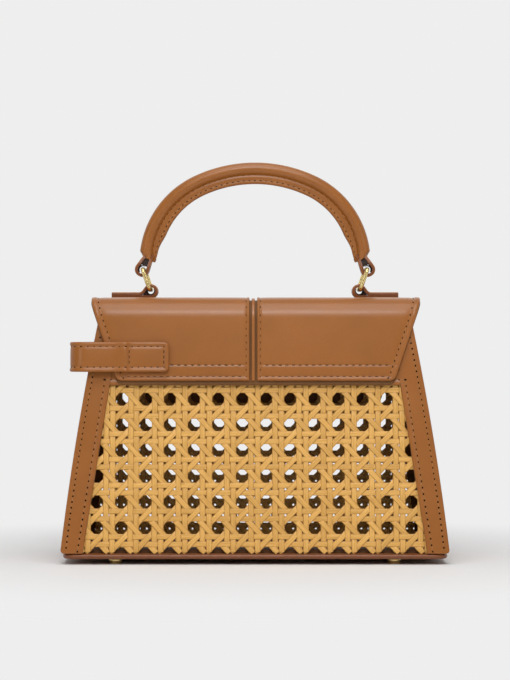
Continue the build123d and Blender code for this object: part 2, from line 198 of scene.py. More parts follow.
# Middle and radius of the smaller circle of a liner, and the degrees it runs from and to
TAB_LINER = ((0.1, 0.35), 2.0, -210, -10)
NECK_LINER = ((-0.3, -1.0), 2.12, -60, 100)
LINER_STEPS = 24
HANDLE_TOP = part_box("handle_cover")[1].z / MM
HANDLE_DEPTH = 12.7
CROWN_RADIUS = 78.0
CROWN_ANGLE = radians(25.0)
SIDE_RADIUS = 50.0
END_ANGLE = radians(83.0)
ROLL_RADIUS = 4.0
NECK_TOP = 6.0
NECK_OUT = 3.0
NECK_FLANGE = -3.3
NECK_GAP = (1.15, 1.4)
NECK_HALF = 3.9
TAB_WEDGE = 4.8
LOOP_DROP = 1.2
FLANGE_TAPER = 0.6
FLANGE_RUN = 14.0
FLANGE_START = -0.95
FLANGE_ROWS = ((-4.45, 1.8), (-1.15, 1.7))
FLANGE_PITCH = 3.5
# Half of the flange's outline, sideways and outward, with a dent under each row of stitches
FLANGE = ((1.95, FLANGE_START), (1.72, -1.15), (1.9, -1.5), (2.05, -2.4), (2.05, -3.4), (1.9, -4.1),
          (1.78, -4.45), (1.9, -4.8), (1.95, -5.5), (1.75, -6.1), (1.2, -6.35), (0.45, -6.3),
          (0.12, -6.05))
HANDLE_STEPS = 120

# Camera, worked out from the photograph's perspective
CAMERA_PLACE = (0.0, -1448.0, 128.3)
CAMERA_LENS = 130.0
SENSOR = 36.0

# Studio, in millimetres: each lamp's place, size and setting of its power
FLOOR_REACH = 6000.0
LIT_PLACE = (0.0, 0.0, 110.0)
LAMPS = {
    "key_light": ((0.0, -1215.0, 990.0), 360.0, "key_power"),
    "top_light": ((0.0, -500.0, 1300.0), 900.0, "top_power"),
    "side_light_left": ((-1100.0, -1200.0, 500.0), 350.0, "side_power"),
    "side_light_right": ((1100.0, -1200.0, 500.0), 350.0, "side_power"),
    "rear_light": ((0.0, 1300.0, 900.0), 900.0, "side_power"),
}


def linear(code):
    """Linear colour of an sRGB hex value."""
    channels = [int(code[i:i + 2], 16) / 255 for i in (0, 2, 4)]
    return tuple(c / 12.92 if c <= 0.04045 else ((c + 0.055) / 1.055) ** 2.4 for c in channels)


def colour(name, description, code):
    """Colour property with an sRGB hex value as its default."""
    return FloatVectorProperty(name=name, description=description, subtype="COLOR", size=3,
                               min=0.0, max=1.0, default=linear(code))


def length(name, description, millimetres):
    """Length property with its default in millimetres."""
    return FloatProperty(name=name, description=description, subtype="DISTANCE", unit="LENGTH",
                         precision=5, default=millimetres * MM)


def power(name, description, watts):
    """Power property of a lamp."""
    return FloatProperty(name=name, description=description, subtype="POWER", unit="POWER",
                         default=watts, min=0.0)


class BagLeatherSettings(bpy.types.PropertyGroup):
    face: colour("Leather", "Colour of the smooth tan leather", "9A5C20")
    # Edge paint also darkens the rounded side of the base edging, there as painted shade
    edge: colour("Edge Paint", "Colour of the painted cut edges", "7A4420")
    # The lining's olive brown is its own colour, darkened in part as painted shade for the strip
    # under the cover and the inside of the bag
    lining: colour("Lining", "Colour of the leather inside the bag", "6E4410")
    # The board's dark brown is partly painted shade of the inside of the bag
    board: colour("Board", "Colour of the covered board in the base", "5C3818")
    # The filler's near-black colour is painted shade deep in the loops, not the leather's own colour
    shade_filler: colour("Filler", "Colour of the leather filler deep in the loops", "241208")
    grain: length("Grain Width", "Width of one fold of the leather's grain", 0.7)
    puff: length("Puff", "Height of the padded border outside a row of stitches", 0.32)


class BagStitchSettings(bpy.types.PropertyGroup):
    thread: colour("Thread", "Colour of the waxed thread", "A06C38")
    hole: colour("Needle Hole", "Colour in the shadow of a needle hole", "241206")
    pitch: length("Pitch", "Distance from one needle hole to the next", 3.7)
    fine_pitch: length("Fine Pitch", "Pitch of the row along the outer edge of the frames", 3.3)
    width: length("Thread Width", "Width of the thread", 0.54)


class BagWebbingSettings(bpy.types.PropertyGroup):
    skin: colour("Cane", "Colour of the cane's glossy skin", "E7B463")
    streak: colour("Streak", "Colour of the darker fibres in the cane", "CE9847")
    rim: colour("Strand Edge", "Colour of the cut edges of each strand", "A87430")
    upright: length("Upright Width", "Width of an upright strand", 3.32)
    level: length("Level Width", "Width of a level strand", 3.15)
    diagonal: length("Diagonal Width", "Width of a diagonal strand", 3.15)
    thickness: length("Strand Thickness", "Thickness of a strand", 0.4)
    seed: IntProperty(name="Seed", description="Seed of the strands' small differences", default=11)


class BagMetalSettings(bpy.types.PropertyGroup):
    gold: colour("Gold", "Colour of the gold-plated brass", "FBE29C")
    steel: colour("Magnet", "Colour of the plated magnets", "B9B9B6")


class BagStageSettings(bpy.types.PropertyGroup):
    ground: colour("Ground", "Colour of the floor and the background", "EEEEEE")
    fill: FloatProperty(name="Fill", description="Strength of the even light all round",
                        default=0.34, min=0.0)
    room: FloatProperty(name="Room", default=0.22, min=0.0, max=1.0,
                        description="Brightness in gloss of the room in front, beside the backdrop's")
    key_power: power("Key Light", "Power of the soft light in front, above", 6.6)
    top_power: power("Top Light", "Power of the soft light overhead", 7.5)
    side_power: power("Side Lights", "Power of each soft light at the side and behind", 1.6)


def node(tree, kind, settings=None, links=None, values=None):
    """Add a shader node, with its settings, its links from other sockets and its values."""
    made = tree.nodes.new(kind)
    for name, value in (settings or {}).items():
        setattr(made, name, value)
    for name, value in (values or {}).items():
        made.inputs[name].default_value = value
    for name, socket in (links or {}).items():
        tree.links.new(socket, made.inputs[name])
    return made


def start_material(name, shader_values):
    """New material, its node tree, its surface shader and the place on the object."""
    material = bpy.data.materials.new(name)
    material.use_nodes = True
    tree = material.node_tree
    shader = tree.nodes["Principled BSDF"]
    for socket, value in shader_values.items():
        shader.inputs[socket].default_value = value
    return material, tree, shader, node(tree, "ShaderNodeTexCoord").outputs["Object"]


def opaque(rgb):
    """Colour with full alpha."""
    return (*rgb, 1.0)


def ramp(tree, factor, low, high, start=0.0, end=1.0):
    """Colour that goes from low to high as factor goes from start to end."""
    made = node(tree, "ShaderNodeValToRGB", links={"Fac": factor})
    for element, position, rgb in zip(made.color_ramp.elements, (start, end), (low, high)):
        element.position = position
        element.color = opaque(rgb)
    return made.outputs["Color"]


def shades(tree, factor, rgb, low, high, start=0.0, end=1.0):
    """Colour that goes from a darker to a paler shade of one colour."""
    dark, pale = (tuple(min(channel * share, 1.0) for channel in rgb) for share in (low, high))
    return ramp(tree, factor, dark, pale, start, end)


def noise(tree, place, width, detail=2.0, roughness=0.5):
    """Noise in patches of about one width, in metres."""
    made = node(tree, "ShaderNodeTexNoise", links={"Vector": place},
                values={"Scale": 1 / width, "Detail": detail, "Roughness": roughness})
    return made.outputs["Fac"]


def product(tree, first, second):
    """Product of two colours."""
    made = node(tree, "ShaderNodeMix", {"data_type": "RGBA", "blend_type": "MULTIPLY"},
                {6: first, 7: second}, {0: 1.0})
    return made.outputs[2]


def remap(tree, value, start, end, low=0.0, high=1.0, kind="SMOOTHSTEP"):
    """Value carried over from the range of start to end to the range of low to high."""
    made = node(tree, "ShaderNodeMapRange", {"interpolation_type": kind}, {"Value": value},
                {"From Min": start, "From Max": end, "To Min": low, "To Max": high})
    return made.outputs["Result"]


def calculate(tree, operation, *values):
    """Result of a sum on one or two values."""
    made = node(tree, "ShaderNodeMath", {"operation": operation}, dict(enumerate(values)))
    return made.outputs["Value"]


def paint(tree, shader, base, height=None, strength=0.0, depth=0.0):
    """Give a shader its colour and, where it has a height, a bump with its depth in millimetres."""
    tree.links.new(base, shader.inputs["Base Color"])
    if height is not None:
        bump = node(tree, "ShaderNodeBump", links={"Height": height},
                    values={"Strength": strength, "Distance": depth * MM})
        tree.links.new(bump.outputs["Normal"], shader.inputs["Normal"])


def calf_leather(name, rgb, grain, roughness):
    """Smooth drum-dyed calf leather: a soft wide highlight, faint mottling and a fine grain."""
    material, tree, shader, place = start_material(name, {"IOR": 1.5, "Specular IOR Level": 0.48})
    # The dye takes unevenly over patches about 25 mm wide, so colour and gloss drift a little
    patches = noise(tree, place, 25 * MM, 3.0)
    mottled = shades(tree, patches, rgb, 0.93, 1.06, 0.3, 0.7)
    # Pores are drawn a little coarser than the real 0.3 mm, so that they show
    pores = noise(tree, place, grain, 4.0, 0.6)
    pored = ramp(tree, pores, (0.9, 0.9, 0.9), (1.04, 1.04, 1.04), 0.3, 0.7)
    folds = node(tree, "ShaderNodeTexVoronoi", {"feature": "SMOOTH_F1"}, {"Vector": place},
                 {"Scale": 1 / grain, "Smoothness": 0.6})
    paint(tree, shader, product(tree, mottled, pored), folds.outputs["Distance"], 0.12, 0.08)
    gloss = remap(tree, patches, 0.0, 1.0, roughness - 0.05, roughness + 0.06, "LINEAR")
    tree.links.new(gloss, shader.inputs["Roughness"])
    return material


def edge_paint(name, rgb):
    """Acrylic edge paint on cut leather: darker, slightly glossy and faintly uneven."""
    material, tree, shader, place = start_material(name, {"Roughness": 0.38})
    # Brush marks about 2 mm long
    marks = noise(tree, place, 2 * MM)
    paint(tree, shader, shades(tree, marks, rgb, 0.85, 1.12, 0.3, 0.7), marks, 0.2, 0.05)
    return material


def waxed_thread(name, rgb):
    """Twisted polyester thread with wax: matt, with fine slanting plies."""
    material, tree, shader, place = start_material(name, {"Roughness": 0.55, "Sheen Weight": 0.2})
    # Plies are 0.35 mm apart
    plies = node(tree, "ShaderNodeTexWave", {"bands_direction": "DIAGONAL"}, {"Vector": place},
                 {"Scale": 1 / (0.35 * MM) / 20, "Distortion": 1.0})
    paint(tree, shader, shades(tree, plies.outputs["Fac"], rgb, 0.8, 1.15))
    return material


def needle_hole(name, rgb):
    """Inside of a needle hole: dark as painted shade, without gloss, with faint loose fibres."""
    material, tree, shader, place = start_material(name, {"Roughness": 0.9,
                                                          "Specular IOR Level": 0.1})
    paint(tree, shader, shades(tree, noise(tree, place, 0.3 * MM), rgb, 0.7, 1.2))
    return material


def rattan_cane(name, settings):
    """Split rattan cane: a hard glossy skin with fine fibres along it and darker cut edges."""
    material, tree, shader, _ = start_material(name, {"Roughness": 0.4, "IOR": 1.52,
                                                      "Specular IOR Level": 0.35})
    strand = node(tree, "ShaderNodeAttribute", {"attribute_name": "strand"}).outputs["Vector"]
    parts = node(tree, "ShaderNodeSeparateXYZ", links={"Vector": strand})
    # Fibres are 0.25 mm apart and run for about 12 mm
    stretched = node(tree, "ShaderNodeMapping", links={"Vector": strand},
                     values={"Scale": (4.0, 0.08, 60.0)})
    fibres = noise(tree, stretched.outputs["Vector"], 1.0, 3.0, 0.6)
    streaked = ramp(tree, fibres, settings.streak, settings.skin, 0.28, 0.6)
    # Each strand is a little darker or paler than the next
    strand_tone = ramp(tree, parts.outputs["Z"], (0.86, 0.84, 0.8), (1.0, 1.0, 1.0))
    half = settings.diagonal / MM / 2
    rim = remap(tree, calculate(tree, "ABSOLUTE", parts.outputs["X"]), half - 0.45, half + 0.1)
    edged = node(tree, "ShaderNodeMix", {"data_type": "RGBA"},
                 {0: rim, 6: product(tree, streaked, strand_tone)}, {7: opaque(settings.rim)})
    paint(tree, shader, edged.outputs[2], fibres, 0.25, 0.06)
    return material


def gold_plate(name, rgb):
    """Polished gold-plated brass: a mirror with the faintest polishing haze."""
    material, tree, shader, place = start_material(name, {"Metallic": 1.0})
    # Polishing marks about 1.5 mm across
    haze = noise(tree, place, 1.5 * MM)
    tree.links.new(remap(tree, haze, 0.0, 1.0, 0.21, 0.27, "LINEAR"), shader.inputs["Roughness"])
    paint(tree, shader, shades(tree, haze, rgb, 0.94, 1.03))
    return material


def nickel_plate(name, rgb):
    """Nickel-plated magnet: pale metal, brushed by its tumbling."""
    material, tree, shader, place = start_material(name, {"Metallic": 1.0, "Roughness": 0.35})
    # Tumbling marks about 1 mm across
    paint(tree, shader, shades(tree, noise(tree, place, MM), rgb, 0.9, 1.05))
    return material


def bonded_board(name, rgb):
    """Bonded leather board covered in microfibre: matt, with a short soft nap."""
    material, tree, shader, place = start_material(name, {"Roughness": 0.85, "Sheen Weight": 0.3})
    # The nap lies in tufts about 1.2 mm wide
    nap = noise(tree, place, 1.2 * MM, 5.0)
    paint(tree, shader, shades(tree, nap, rgb, 0.8, 1.15, 0.3, 0.7), nap, 0.3, 0.15)
    return material


def studio_paper(name, rgb):
    """Matt paper sweep that takes the soft shadow and fades into the even background."""
    material, tree, shader, place = start_material(name, {"Roughness": 0.95,
                                                          "Specular IOR Level": 0.0})
    # Paper fibres 2 mm long are only just visible
    paint(tree, shader, shades(tree, noise(tree, place, 2 * MM), rgb, 0.995, 1.005))
    glow = node(tree, "ShaderNodeEmission", values={"Color": opaque(rgb), "Strength": 1.0})
    reach = node(tree, "ShaderNodeVectorMath", {"operation": "LENGTH"}, {0: place})
    fade = remap(tree, reach.outputs["Value"], 130 * MM, 330 * MM)
    camera_ray = node(tree, "ShaderNodeLightPath").outputs["Is Camera Ray"]
    seen = calculate(tree, "MULTIPLY", fade, camera_ray)
    mix = node(tree, "ShaderNodeMixShader",
               links={0: seen, 1: shader.outputs["BSDF"], 2: glow.outputs["Emission"]})
    tree.links.new(mix.outputs["Shader"], tree.nodes["Material Output"].inputs["Surface"])
    return material


made_materials = {}


def finish_of(name):
    """Material of one finish, made when it is first asked for."""
    scene = bpy.context.scene
    leather = scene.bag_leather
    stitch = scene.bag_stitch
    makers = {
        "calf_leather": lambda: calf_leather("smooth_calf_leather", leather.face, leather.grain,
                                             0.34),
        # Edge paint is the real colour of cut edges, and painted shade on the base edging's rounded
        # side
        "edge_paint": lambda: edge_paint("painted_leather_edge", leather.edge),
        # The lining colour is partly painted shade
        "lining": lambda: calf_leather("lining_leather", leather.lining, leather.grain, 0.6),
        "board": lambda: bonded_board("covered_board", leather.board),
        # The filler's near-black colour is painted shade
        "shade_filler": lambda: bonded_board("bonded_leather_filler", leather.shade_filler),
        "thread": lambda: waxed_thread("waxed_thread", stitch.thread),
        "hole": lambda: needle_hole("needle_hole", stitch.hole),
        "cane": lambda: rattan_cane("split_rattan_cane", scene.bag_webbing),
        "gold": lambda: gold_plate("gold_plated_brass", scene.bag_metal.gold),
        "nickel": lambda: nickel_plate("nickel_plated_magnet", scene.bag_metal.steel),
        "paper": lambda: studio_paper("studio_paper", scene.bag_stage.ground),
    }
    if name not in made_materials:
        made_materials[name] = makers[name]()
    return made_materials[name]


class Shape:
    """Corners and faces of one object, gathered in millimetres."""

    def __init__(self):
        self.points = []
        self.faces = []
        self.kinds = []
        self.tags = []

    def face(self, corners, kind=0):
        self.faces.append(tuple(corners))
        self.kinds.append(kind)

    def loft(self, rings, kinds=None, closed=False):
        """Skin between rings of points, with its ends capped or, when closed, joined."""
        kinds = kinds or [0] * len(rings[0])
        start = len(self.points)
        count = len(rings[0])
        for ring in rings:
            self.points.extend(ring)
        for row in range(len(rings) - (0 if closed else 1)):
            here = start + row * count
            ahead = start + (row + 1) % len(rings) * count
            for step in range(count):
                on = (step + 1) % count
                self.face((here + step, here + on, ahead + on, ahead + step), kinds[step])
        if not closed:
            last = start + (len(rings) - 1) * count
            self.face(range(start + count - 1, start - 1, -1), kinds[-1])
            self.face(range(last, last + count), kinds[-1])

    def build(self, name, materials, sharp=50.0):
        """Make the object from the gathered faces."""
        mesh = bpy.data.meshes.new(name)
        mesh.from_pydata([tuple(c * MM for c in point) for point in self.points], [], self.faces)
        mesh.polygons.foreach_set("material_index", self.kinds)
        if self.tags:
            places = mesh.attributes.new("strand", "FLOAT_VECTOR", "POINT")
            places.data.foreach_set("vector", [c for tag in self.tags for c in tag])
        for material in materials:
            mesh.materials.append(finish_of(material))
        work = bmesh.new()
        work.from_mesh(mesh)
        bmesh.ops.recalc_face_normals(work, faces=work.faces)
        work.to_mesh(mesh)
        work.free()
        mesh.shade_smooth()
        mesh.set_sharp_from_angle(angle=radians(sharp))
        made = bpy.data.objects.new(name, mesh)
        bpy.context.scene.collection.objects.link(made)
        return made


class Path:
    """Flat line through close points, measured along its length."""

    def __init__(self, points):
        self.points = np.array([tuple(point) for point in points], float)
        steps = np.linalg.norm(np.diff(self.points, axis=0), axis=1)
        self.marks = np.concatenate(([0.0], np.cumsum(steps)))
        self.length = float(self.marks[-1])

    def point(self, distance):
        """Place at a distance along the line, or its end for a distance past it."""
        return np.array([np.interp(distance, self.marks, self.points[:, axis]) for axis in (0, 1)])

    def at(self, distance):
        """Place, and unit normal on the left of the line's direction."""
        ahead = self.point(distance + 0.35) - self.point(distance - 0.35)
        ahead /= np.linalg.norm(ahead)
        return self.point(distance), np.array((-ahead[1], ahead[0]))


def arc_points(centre, radius, start, sweep, step=0.3):
    """Close points along an arc, with its angles in radians."""
    count = max(2, ceil(abs(sweep) * radius / step))
    return [(centre[0] + radius * cos(start + sweep * k / count),
             centre[1] + radius * sin(start + sweep * k / count)) for k in range(count + 1)]


def rounded_line(corners, radius):
    """Points along straight runs whose corners are rounded by one radius."""
    points = [corners[0]]
    for before, corner, after in zip(corners, corners[1:], corners[2:]):
        here = Vector(corner)
        back = (Vector(before) - here).normalized()
        on = (Vector(after) - here).normalized()
        turn = pi - back.angle(on)
        centre = here + (back + on).normalized() * (radius / cos(turn / 2))
        first = here + back * radius * tan(turn / 2) - centre
        sweep = turn if back.cross(on) < 0 else -turn
        start = np.arctan2(first.y, first.x)
        points.extend(arc_points(centre, radius, start, sweep))
    points.append(corners[-1])
    return points


def rounded_box(half_x, half_y, radius, step):
    """Closed path round a box whose corners are rounded by one radius."""
    outline = []
    for sign_x, sign_y, start in ((1, -1, -90), (1, 1, 0), (-1, 1, 90), (-1, -1, 180)):
        centre = (sign_x * (half_x - radius), sign_y * (half_y - radius))
        outline += arc_points(centre, radius, radians(start), radians(90), step)
    return Path(outline + outline[:1])


def smooth(share):
    """Share from 0 to 1 that starts and ends level."""
    return share * share * (3 - 2 * share)


def fall(distance, radius):
    """How far a rounded edge has fallen at a distance from its side."""
    if distance >= radius:
        return 0.0
    return radius - sqrt(radius ** 2 - (radius - max(distance, 0.0)) ** 2)


# Close distances from an edge, and from a row of stitches, where the leather is cut finely
RIM = (0.0, 0.08, 0.25, 0.5, 0.8, 1.1, 1.3, 1.5, 1.75, 2.1, 2.5, 2.9, 3.3, 3.7, 4.2, 4.8)
ROW_STEPS = (-2.0, -1.2, -0.6, -0.3, 0.0, 0.3, 0.6, 1.2, 2.0, 3.0, 4.2)


def spread(total, count):
    """Distances across a strip, close together near both edges."""
    shrink = min(1.0, 0.42 * total / RIM[-1])
    near = [distance * shrink for distance in RIM]
    middle = [near[-1] + (total - 2 * near[-1]) * k / (count + 1) for k in range(1, count + 1)]
    return near + middle + [total - distance for distance in reversed(near)]


class Leather:
    """One piece of leather, with rounded edges, a padded border and pinched rows of stitches."""

    def __init__(self, place, edges, length, thickness, radius=0.6, puff=0.0, sewn=(2.6, 2.6, 2.6),
                 pinch=0.16, relief=None, crease=0.0):
        self.place = place
        self.edges = edges
        self.length = length
        self.thickness = thickness
        self.radius = radius
        self.puff = puff
        self.sewn = sewn
        self.pinch = pinch
        self.relief = relief
        self.crease = crease

    def margins(self, across, along):
        """Distances of a place from the two sides and from the nearer end."""
        low, high = self.edges(along)
        end = min(along, self.length - along)
        return max(across - low, 0.0), max(high - across, 0.0), max(end, 0.0)

    def top(self, across, along):
        """Height of the upper face at a place on the piece."""
        near, far, end = self.margins(across, along)
        rim = min(near, far, end)
        height = self.thickness - fall(rim, self.radius)
        share = min(near / self.sewn[0], far / self.sewn[1], end / self.sewn[2])
        height -= self.crease * exp(-((rim - 1.4) / 0.16) ** 2)
        swell = sin(pi * share) if share < 1 else 0.4 * (1 - exp((1 - share) / 2))
        height += self.puff * swell
        if self.puff:
            height -= self.pinch * exp(-((share - 1) / 0.3) ** 2)
        if self.relief:
            height += self.relief(across, along)
        return height

    def surface(self, across, along, lift=0.0):
        """Point on the upper face, raised by lift."""
        return self.place(across, along, self.top(across, along) + lift)

    def add(self, shape, step=2.5, rows=()):
        """Add the closed skin to a shape, its sides as kind 1, with close steps round each row."""
        widest = max(high - low for low, high in map(self.edges, (0, self.length / 2, self.length)))
        count = max(1, int((widest - 2 * RIM[-1]) / step))
        marks = spread(self.length, max(1, int(self.length / step)))
        marks += [row + near for row in rows for near in ROW_STEPS]
        rings = []
        for along in sorted(marks):
            low, high = self.edges(along)
            spots = [low + distance for distance in spread(high - low, count)]
            upper = [self.surface(across, along) for across in spots]
            lower = [self.place(across, along, 0.0) for across in reversed(spots)]
            rings.append(upper + lower)
        face = [0] * (len(rings[0]) // 2 - 1)
        shape.loft(rings, (face + [1]) * 2)

    def build(self, name, finishes=PAINTED_LEATHER, step=2.5, rows=()):
        """Make an object of this piece alone."""
        shape = Shape()
        self.add(shape, step, rows)
        return shape.build(name, finishes)


# Half the length and half the width of a needle hole: pricked round, or drawn long by the thread
ROUND_HOLE = (0.6, 0.52)
LONG_HOLE = (1.1, 0.45)


class Stitching:
    """Rows of stitches: threads as kind 0 and needle holes as kind 1 of one shape."""

    def __init__(self):
        settings = bpy.context.scene.bag_stitch
        self.shape = Shape()
        self.pitch = settings.pitch / MM
        self.fine_pitch = settings.fine_pitch / MM
        self.thread = settings.width / MM / 2

    def oval(self, locate, distance, half_length, half_width, height, sink, kind):
        """One rounded grain that lies along the row at a distance."""
        middle = locate(distance, 0.0)
        up = (locate(distance, 1.0) - middle).normalized()
        ahead = locate(distance + half_length, 0.0) - locate(distance - half_length, 0.0)
        ahead.normalize()
        side = ahead.cross(up).normalized()
        rings = []
        for share in (-0.96, -0.7, -0.3, 0.0, 0.3, 0.7, 0.96):
            girth = sqrt(1 - share ** 2)
            core = middle + ahead * (share * half_length) - up * sink
            rings.append([core + side * (girth * half_width * cos(pi * k / 3))
                          + up * (girth * height * sin(pi * k / 3)) for k in range(6)])
        self.shape.loft(rings, [kind] * 6)

    def row(self, locate, length, pitch=None, hole=ROUND_HOLE):
        """A row of stitches along a line, where locate gives a point from a distance and a lift."""
        count = max(1, round(length / (pitch or self.pitch)))
        step = length / count
        for number in range(count):
            self.oval(locate, (number + 0.5) * step, step / 2 - hole[0] * 0.7, self.thread,
                      self.thread * 0.7, self.thread * 0.3, 0)
        # Needle holes are flat dark ovals of painted shade where the thread goes in
        for number in range(count + 1):
            self.oval(locate, number * step, hole[0], hole[1], 0.1, 0.0, 1)

    def seam(self, piece, start, end, pitch=None, hole=ROUND_HOLE):
        """A straight row of stitches on a piece of leather, between two places across and along."""
        length = hypot(end[0] - start[0], end[1] - start[1])

        def locate(distance, lift):
            across, along = (a + (b - a) * distance / length for a, b in zip(start, end))
            return piece.surface(across, along, lift)

        self.row(locate, length, pitch, hole)

    def build(self, name):
        """Make the object from the gathered stitches."""
        return self.shape.build(name, ("thread", "hole"), 80.0)


def ride(piece, body, slot_name, *nodes):
    """Fasten a piece to a body of the frame, in place of nodes of the frame."""
    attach(piece, body)
    if nodes:
        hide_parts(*nodes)
    return piece


def finish_node(name, *finishes):
    """Give a node of the frame its material."""
    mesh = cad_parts[name].data
    mesh.materials.clear()
    for finish in finishes:
        mesh.materials.append(finish_of(finish))
    mesh.polygons.foreach_set("material_index", [0] * len(mesh.polygons))


def wall_point(side, x, climb, layer):
    """Point on a layer of the back or front wall, climb up its slope."""
    return Vector((x, side * (BASE_DEPTH / 2 - climb * sin(WALL_LEAN) + layer * cos(WALL_LEAN)),
                   WALL_FOOT + climb * cos(WALL_LEAN) + layer * sin(WALL_LEAN)))


def wall_y(height, layer):
    """Distance from the middle of the bag to a layer of either wall at a height."""
    return BASE_DEPTH / 2 - (height - WALL_FOOT) * tan(WALL_LEAN) + layer / cos(WALL_LEAN)


def up_slope(height):
    """Distance up the slope of a wall to a height."""
    return (height - WALL_FOOT) / cos(WALL_LEAN)


def half_width(climb):
    """Half the width of a wall at a distance up its slope."""
    share = climb / up_slope(RIM_HEIGHT)
    straight = BASE_WIDTH + (RIM_WIDTH - BASE_WIDTH) * share
    return straight / 2 + 4 * SIDE_BULGE * share * (1 - share)


def window_half(climb):
    """Half the width of the window at a distance up the slope."""
    share = climb / up_slope(WINDOW_TOP)
    return (WINDOW_BASE_WIDTH + (WINDOW_TOP_WIDTH - WINDOW_BASE_WIDTH) * share) / 2


def window_distance(across, climb):
    """Distance of a place on the frame from the edge of the window."""
    beside = max(abs(across) - window_half(climb), 0.0)
    above = climb - up_slope(WINDOW_TOP)
    return beside if above < 0 else sqrt(beside ** 2 + above ** 2)


def leg_leather(side, side_x, puff):
    """Leather strip beside the window, from the foot of a wall to its rim."""
    def edges(along):
        outer = half_width(along) - fall(along, CORNER_RADIUS)
        return sorted((side_x * outer, side_x * window_half(along)))

    def place(across, along, height):
        return wall_point(side, across, along, height - FRAME_THICKNESS)

    def margins(across, along):
        return (max(half_width(along) - abs(across), 0.0), window_distance(across, along),
                min(along, up_slope(RIM_HEIGHT) - along))

    leg = Leather(place, edges, up_slope(RIM_HEIGHT), FRAME_THICKNESS, radius=0.5, puff=puff,
                  sewn=(FRAME_ROW, FRAME_ROW, FAR))
    leg.margins = margins
    return leg


def band_leather(side, puff):
    """Leather band over the window, between the two strips."""
    def edges(along):
        half = window_half(up_slope(WINDOW_TOP) + along) - 0.1
        return -half, half

    def place(across, along, height):
        return wall_point(side, across, up_slope(WINDOW_TOP) + along, height - FRAME_THICKNESS)

    def margins(across, along):
        return FAR, window_distance(across, up_slope(WINDOW_TOP) + along), rise - along

    rise = up_slope(RIM_HEIGHT) - up_slope(WINDOW_TOP)
    band = Leather(place, edges, rise, FRAME_THICKNESS, radius=0.5, puff=puff,
                   sewn=(FAR, FRAME_ROW, FAR))
    band.margins = margins
    return band


class BAG_OT_base(bpy.types.Operator):
    """Build the base leather with its soft lower edge, and finish the board, feet and washers"""
    bl_idname = "bag.base"
    bl_label = "Base and Feet"

    def execute(self, context):
        loop = rounded_box(BASE_WIDTH / 2 - BASE_INSET, BASE_DEPTH / 2, BASE_CORNER, 1.2)
        count = int(loop.length / BASE_STEP)
        shape = Shape()
        rings = []
        for inset, rise in BASE_PROFILE:
            ring = []
            for number in range(count):
                distance = loop.length * (number + 0.5) / count
                (x, y), (nx, ny) = loop.at(distance)
                # Turned leather is never quite straight, so the edging waves by 0.1 mm
                wave = 0.12 * sin(distance / 7.3) + 0.08 * sin(distance / 3.1 + 1.0)
                out = inset - wave if inset < 1.0 else inset
                ring.append(Vector((x + nx * out, y + ny * out, BASE_FOOT + rise)))
            rings.append(ring)
        shape.loft(rings)
        # The rounded side of the edging takes the darker edge paint as painted shade, since it faces
        # down and gets less light
        painted_shade_faces = range(2 * count, (len(BASE_PROFILE) - 2) * count)
        shape.kinds = [int(number in painted_shade_faces) for number in range(len(shape.kinds))]
        ride(shape.build("base_edging", PAINTED_LEATHER), "root", "tan_leather", "base_leather")
        # The board's dark brown is partly painted shade
        finish_node("base_board", "board")
        finish_node("foot_washers", "gold")
        for _, row_name in WALLS:
            for _, side_name in SIDES:
                finish_node(f"foot_{row_name}_{side_name}", "gold")
        return {"FINISHED"}


class BAG_OT_walls(bpy.types.Operator):
    """Build the sewn leather frames of the back and front walls"""
    bl_idname = "bag.walls"
    bl_label = "Wall Frames"

    def execute(self, context):
        puff = 0.6 * (context.scene.bag_leather.puff / MM)
        half_top = WINDOW_TOP_WIDTH / 2 + FRAME_ROW
        for side, name in WALLS:
            shape = Shape()
            stitching = Stitching()
            for side_x in (LEFT, RIGHT):
                leg = leg_leather(side, side_x, puff)
                leg.add(shape)

                def outer(distance, lift):
                    along = distance + 3.4
                    return leg.surface(side_x * (half_width(along) - FRAME_ROW), along, lift)

                def inner(distance, lift):
                    along = distance + 1.2
                    return leg.surface(side_x * (window_half(along) + FRAME_ROW), along, lift)

                stitching.row(outer, up_slope(RIM_HEIGHT) - 8.0, stitching.fine_pitch)
                stitching.row(inner, up_slope(WINDOW_TOP) + 1.9)
            band = band_leather(side, puff)
            band.add(shape)
            stitching.seam(band, (-half_top, FRAME_ROW), (half_top, FRAME_ROW))
            ride(shape.build(f"{name}_leather_frame", PAINTED_LEATHER), "root", "tan_leather",
                 f"{name}_frame")
            ride(stitching.build(f"{name}_frame_stitching"), "root", "tan_leather")
            finish_node(f"{name}_frame_lining", "lining")
        return {"FINISHED"}


def eased(phase, knots):
    """Height between knots of phase and height, level at each knot."""
    for (start, low), (end, high) in zip(knots, knots[1:]):
        if phase <= end:
            return low + (high - low) * smooth((phase - start) / (end - start))
    return knots[-1][1]


def add_strand(shape, side, start, end, width, thickness, height, tone):
    """Add one flat strand of cane from start to end on a wall, where it lies inside the window."""
    line = Vector(end) - Vector(start)
    across = Vector((-line.y, line.x)).normalized()
    count = ceil(line.length / STRAND_STEP)
    rings = []
    tags = []
    for number in range(count + 1):
        spot = Vector(start) + line * (number / count)
        beside = abs(spot.x) > window_half(spot.y) + CANE_MARGIN
        if beside or not CANE_FOOT <= spot.y <= up_slope(WINDOW_TOP) + CANE_MARGIN:
            continue
        layer = CANE_LAYER + height(spot)
        ring = []
        for sideways, up in STRAND_SECTION:
            place = spot + across * (sideways * width)
            ring.append(wall_point(side, place.x, max(place.y, 0.0), layer + up * thickness))
            tags.append((sideways * width, number * line.length / count, tone))
        rings.append(ring)
    if len(rings) > 2:
        shape.loft(rings)
        shape.tags.extend(tags)


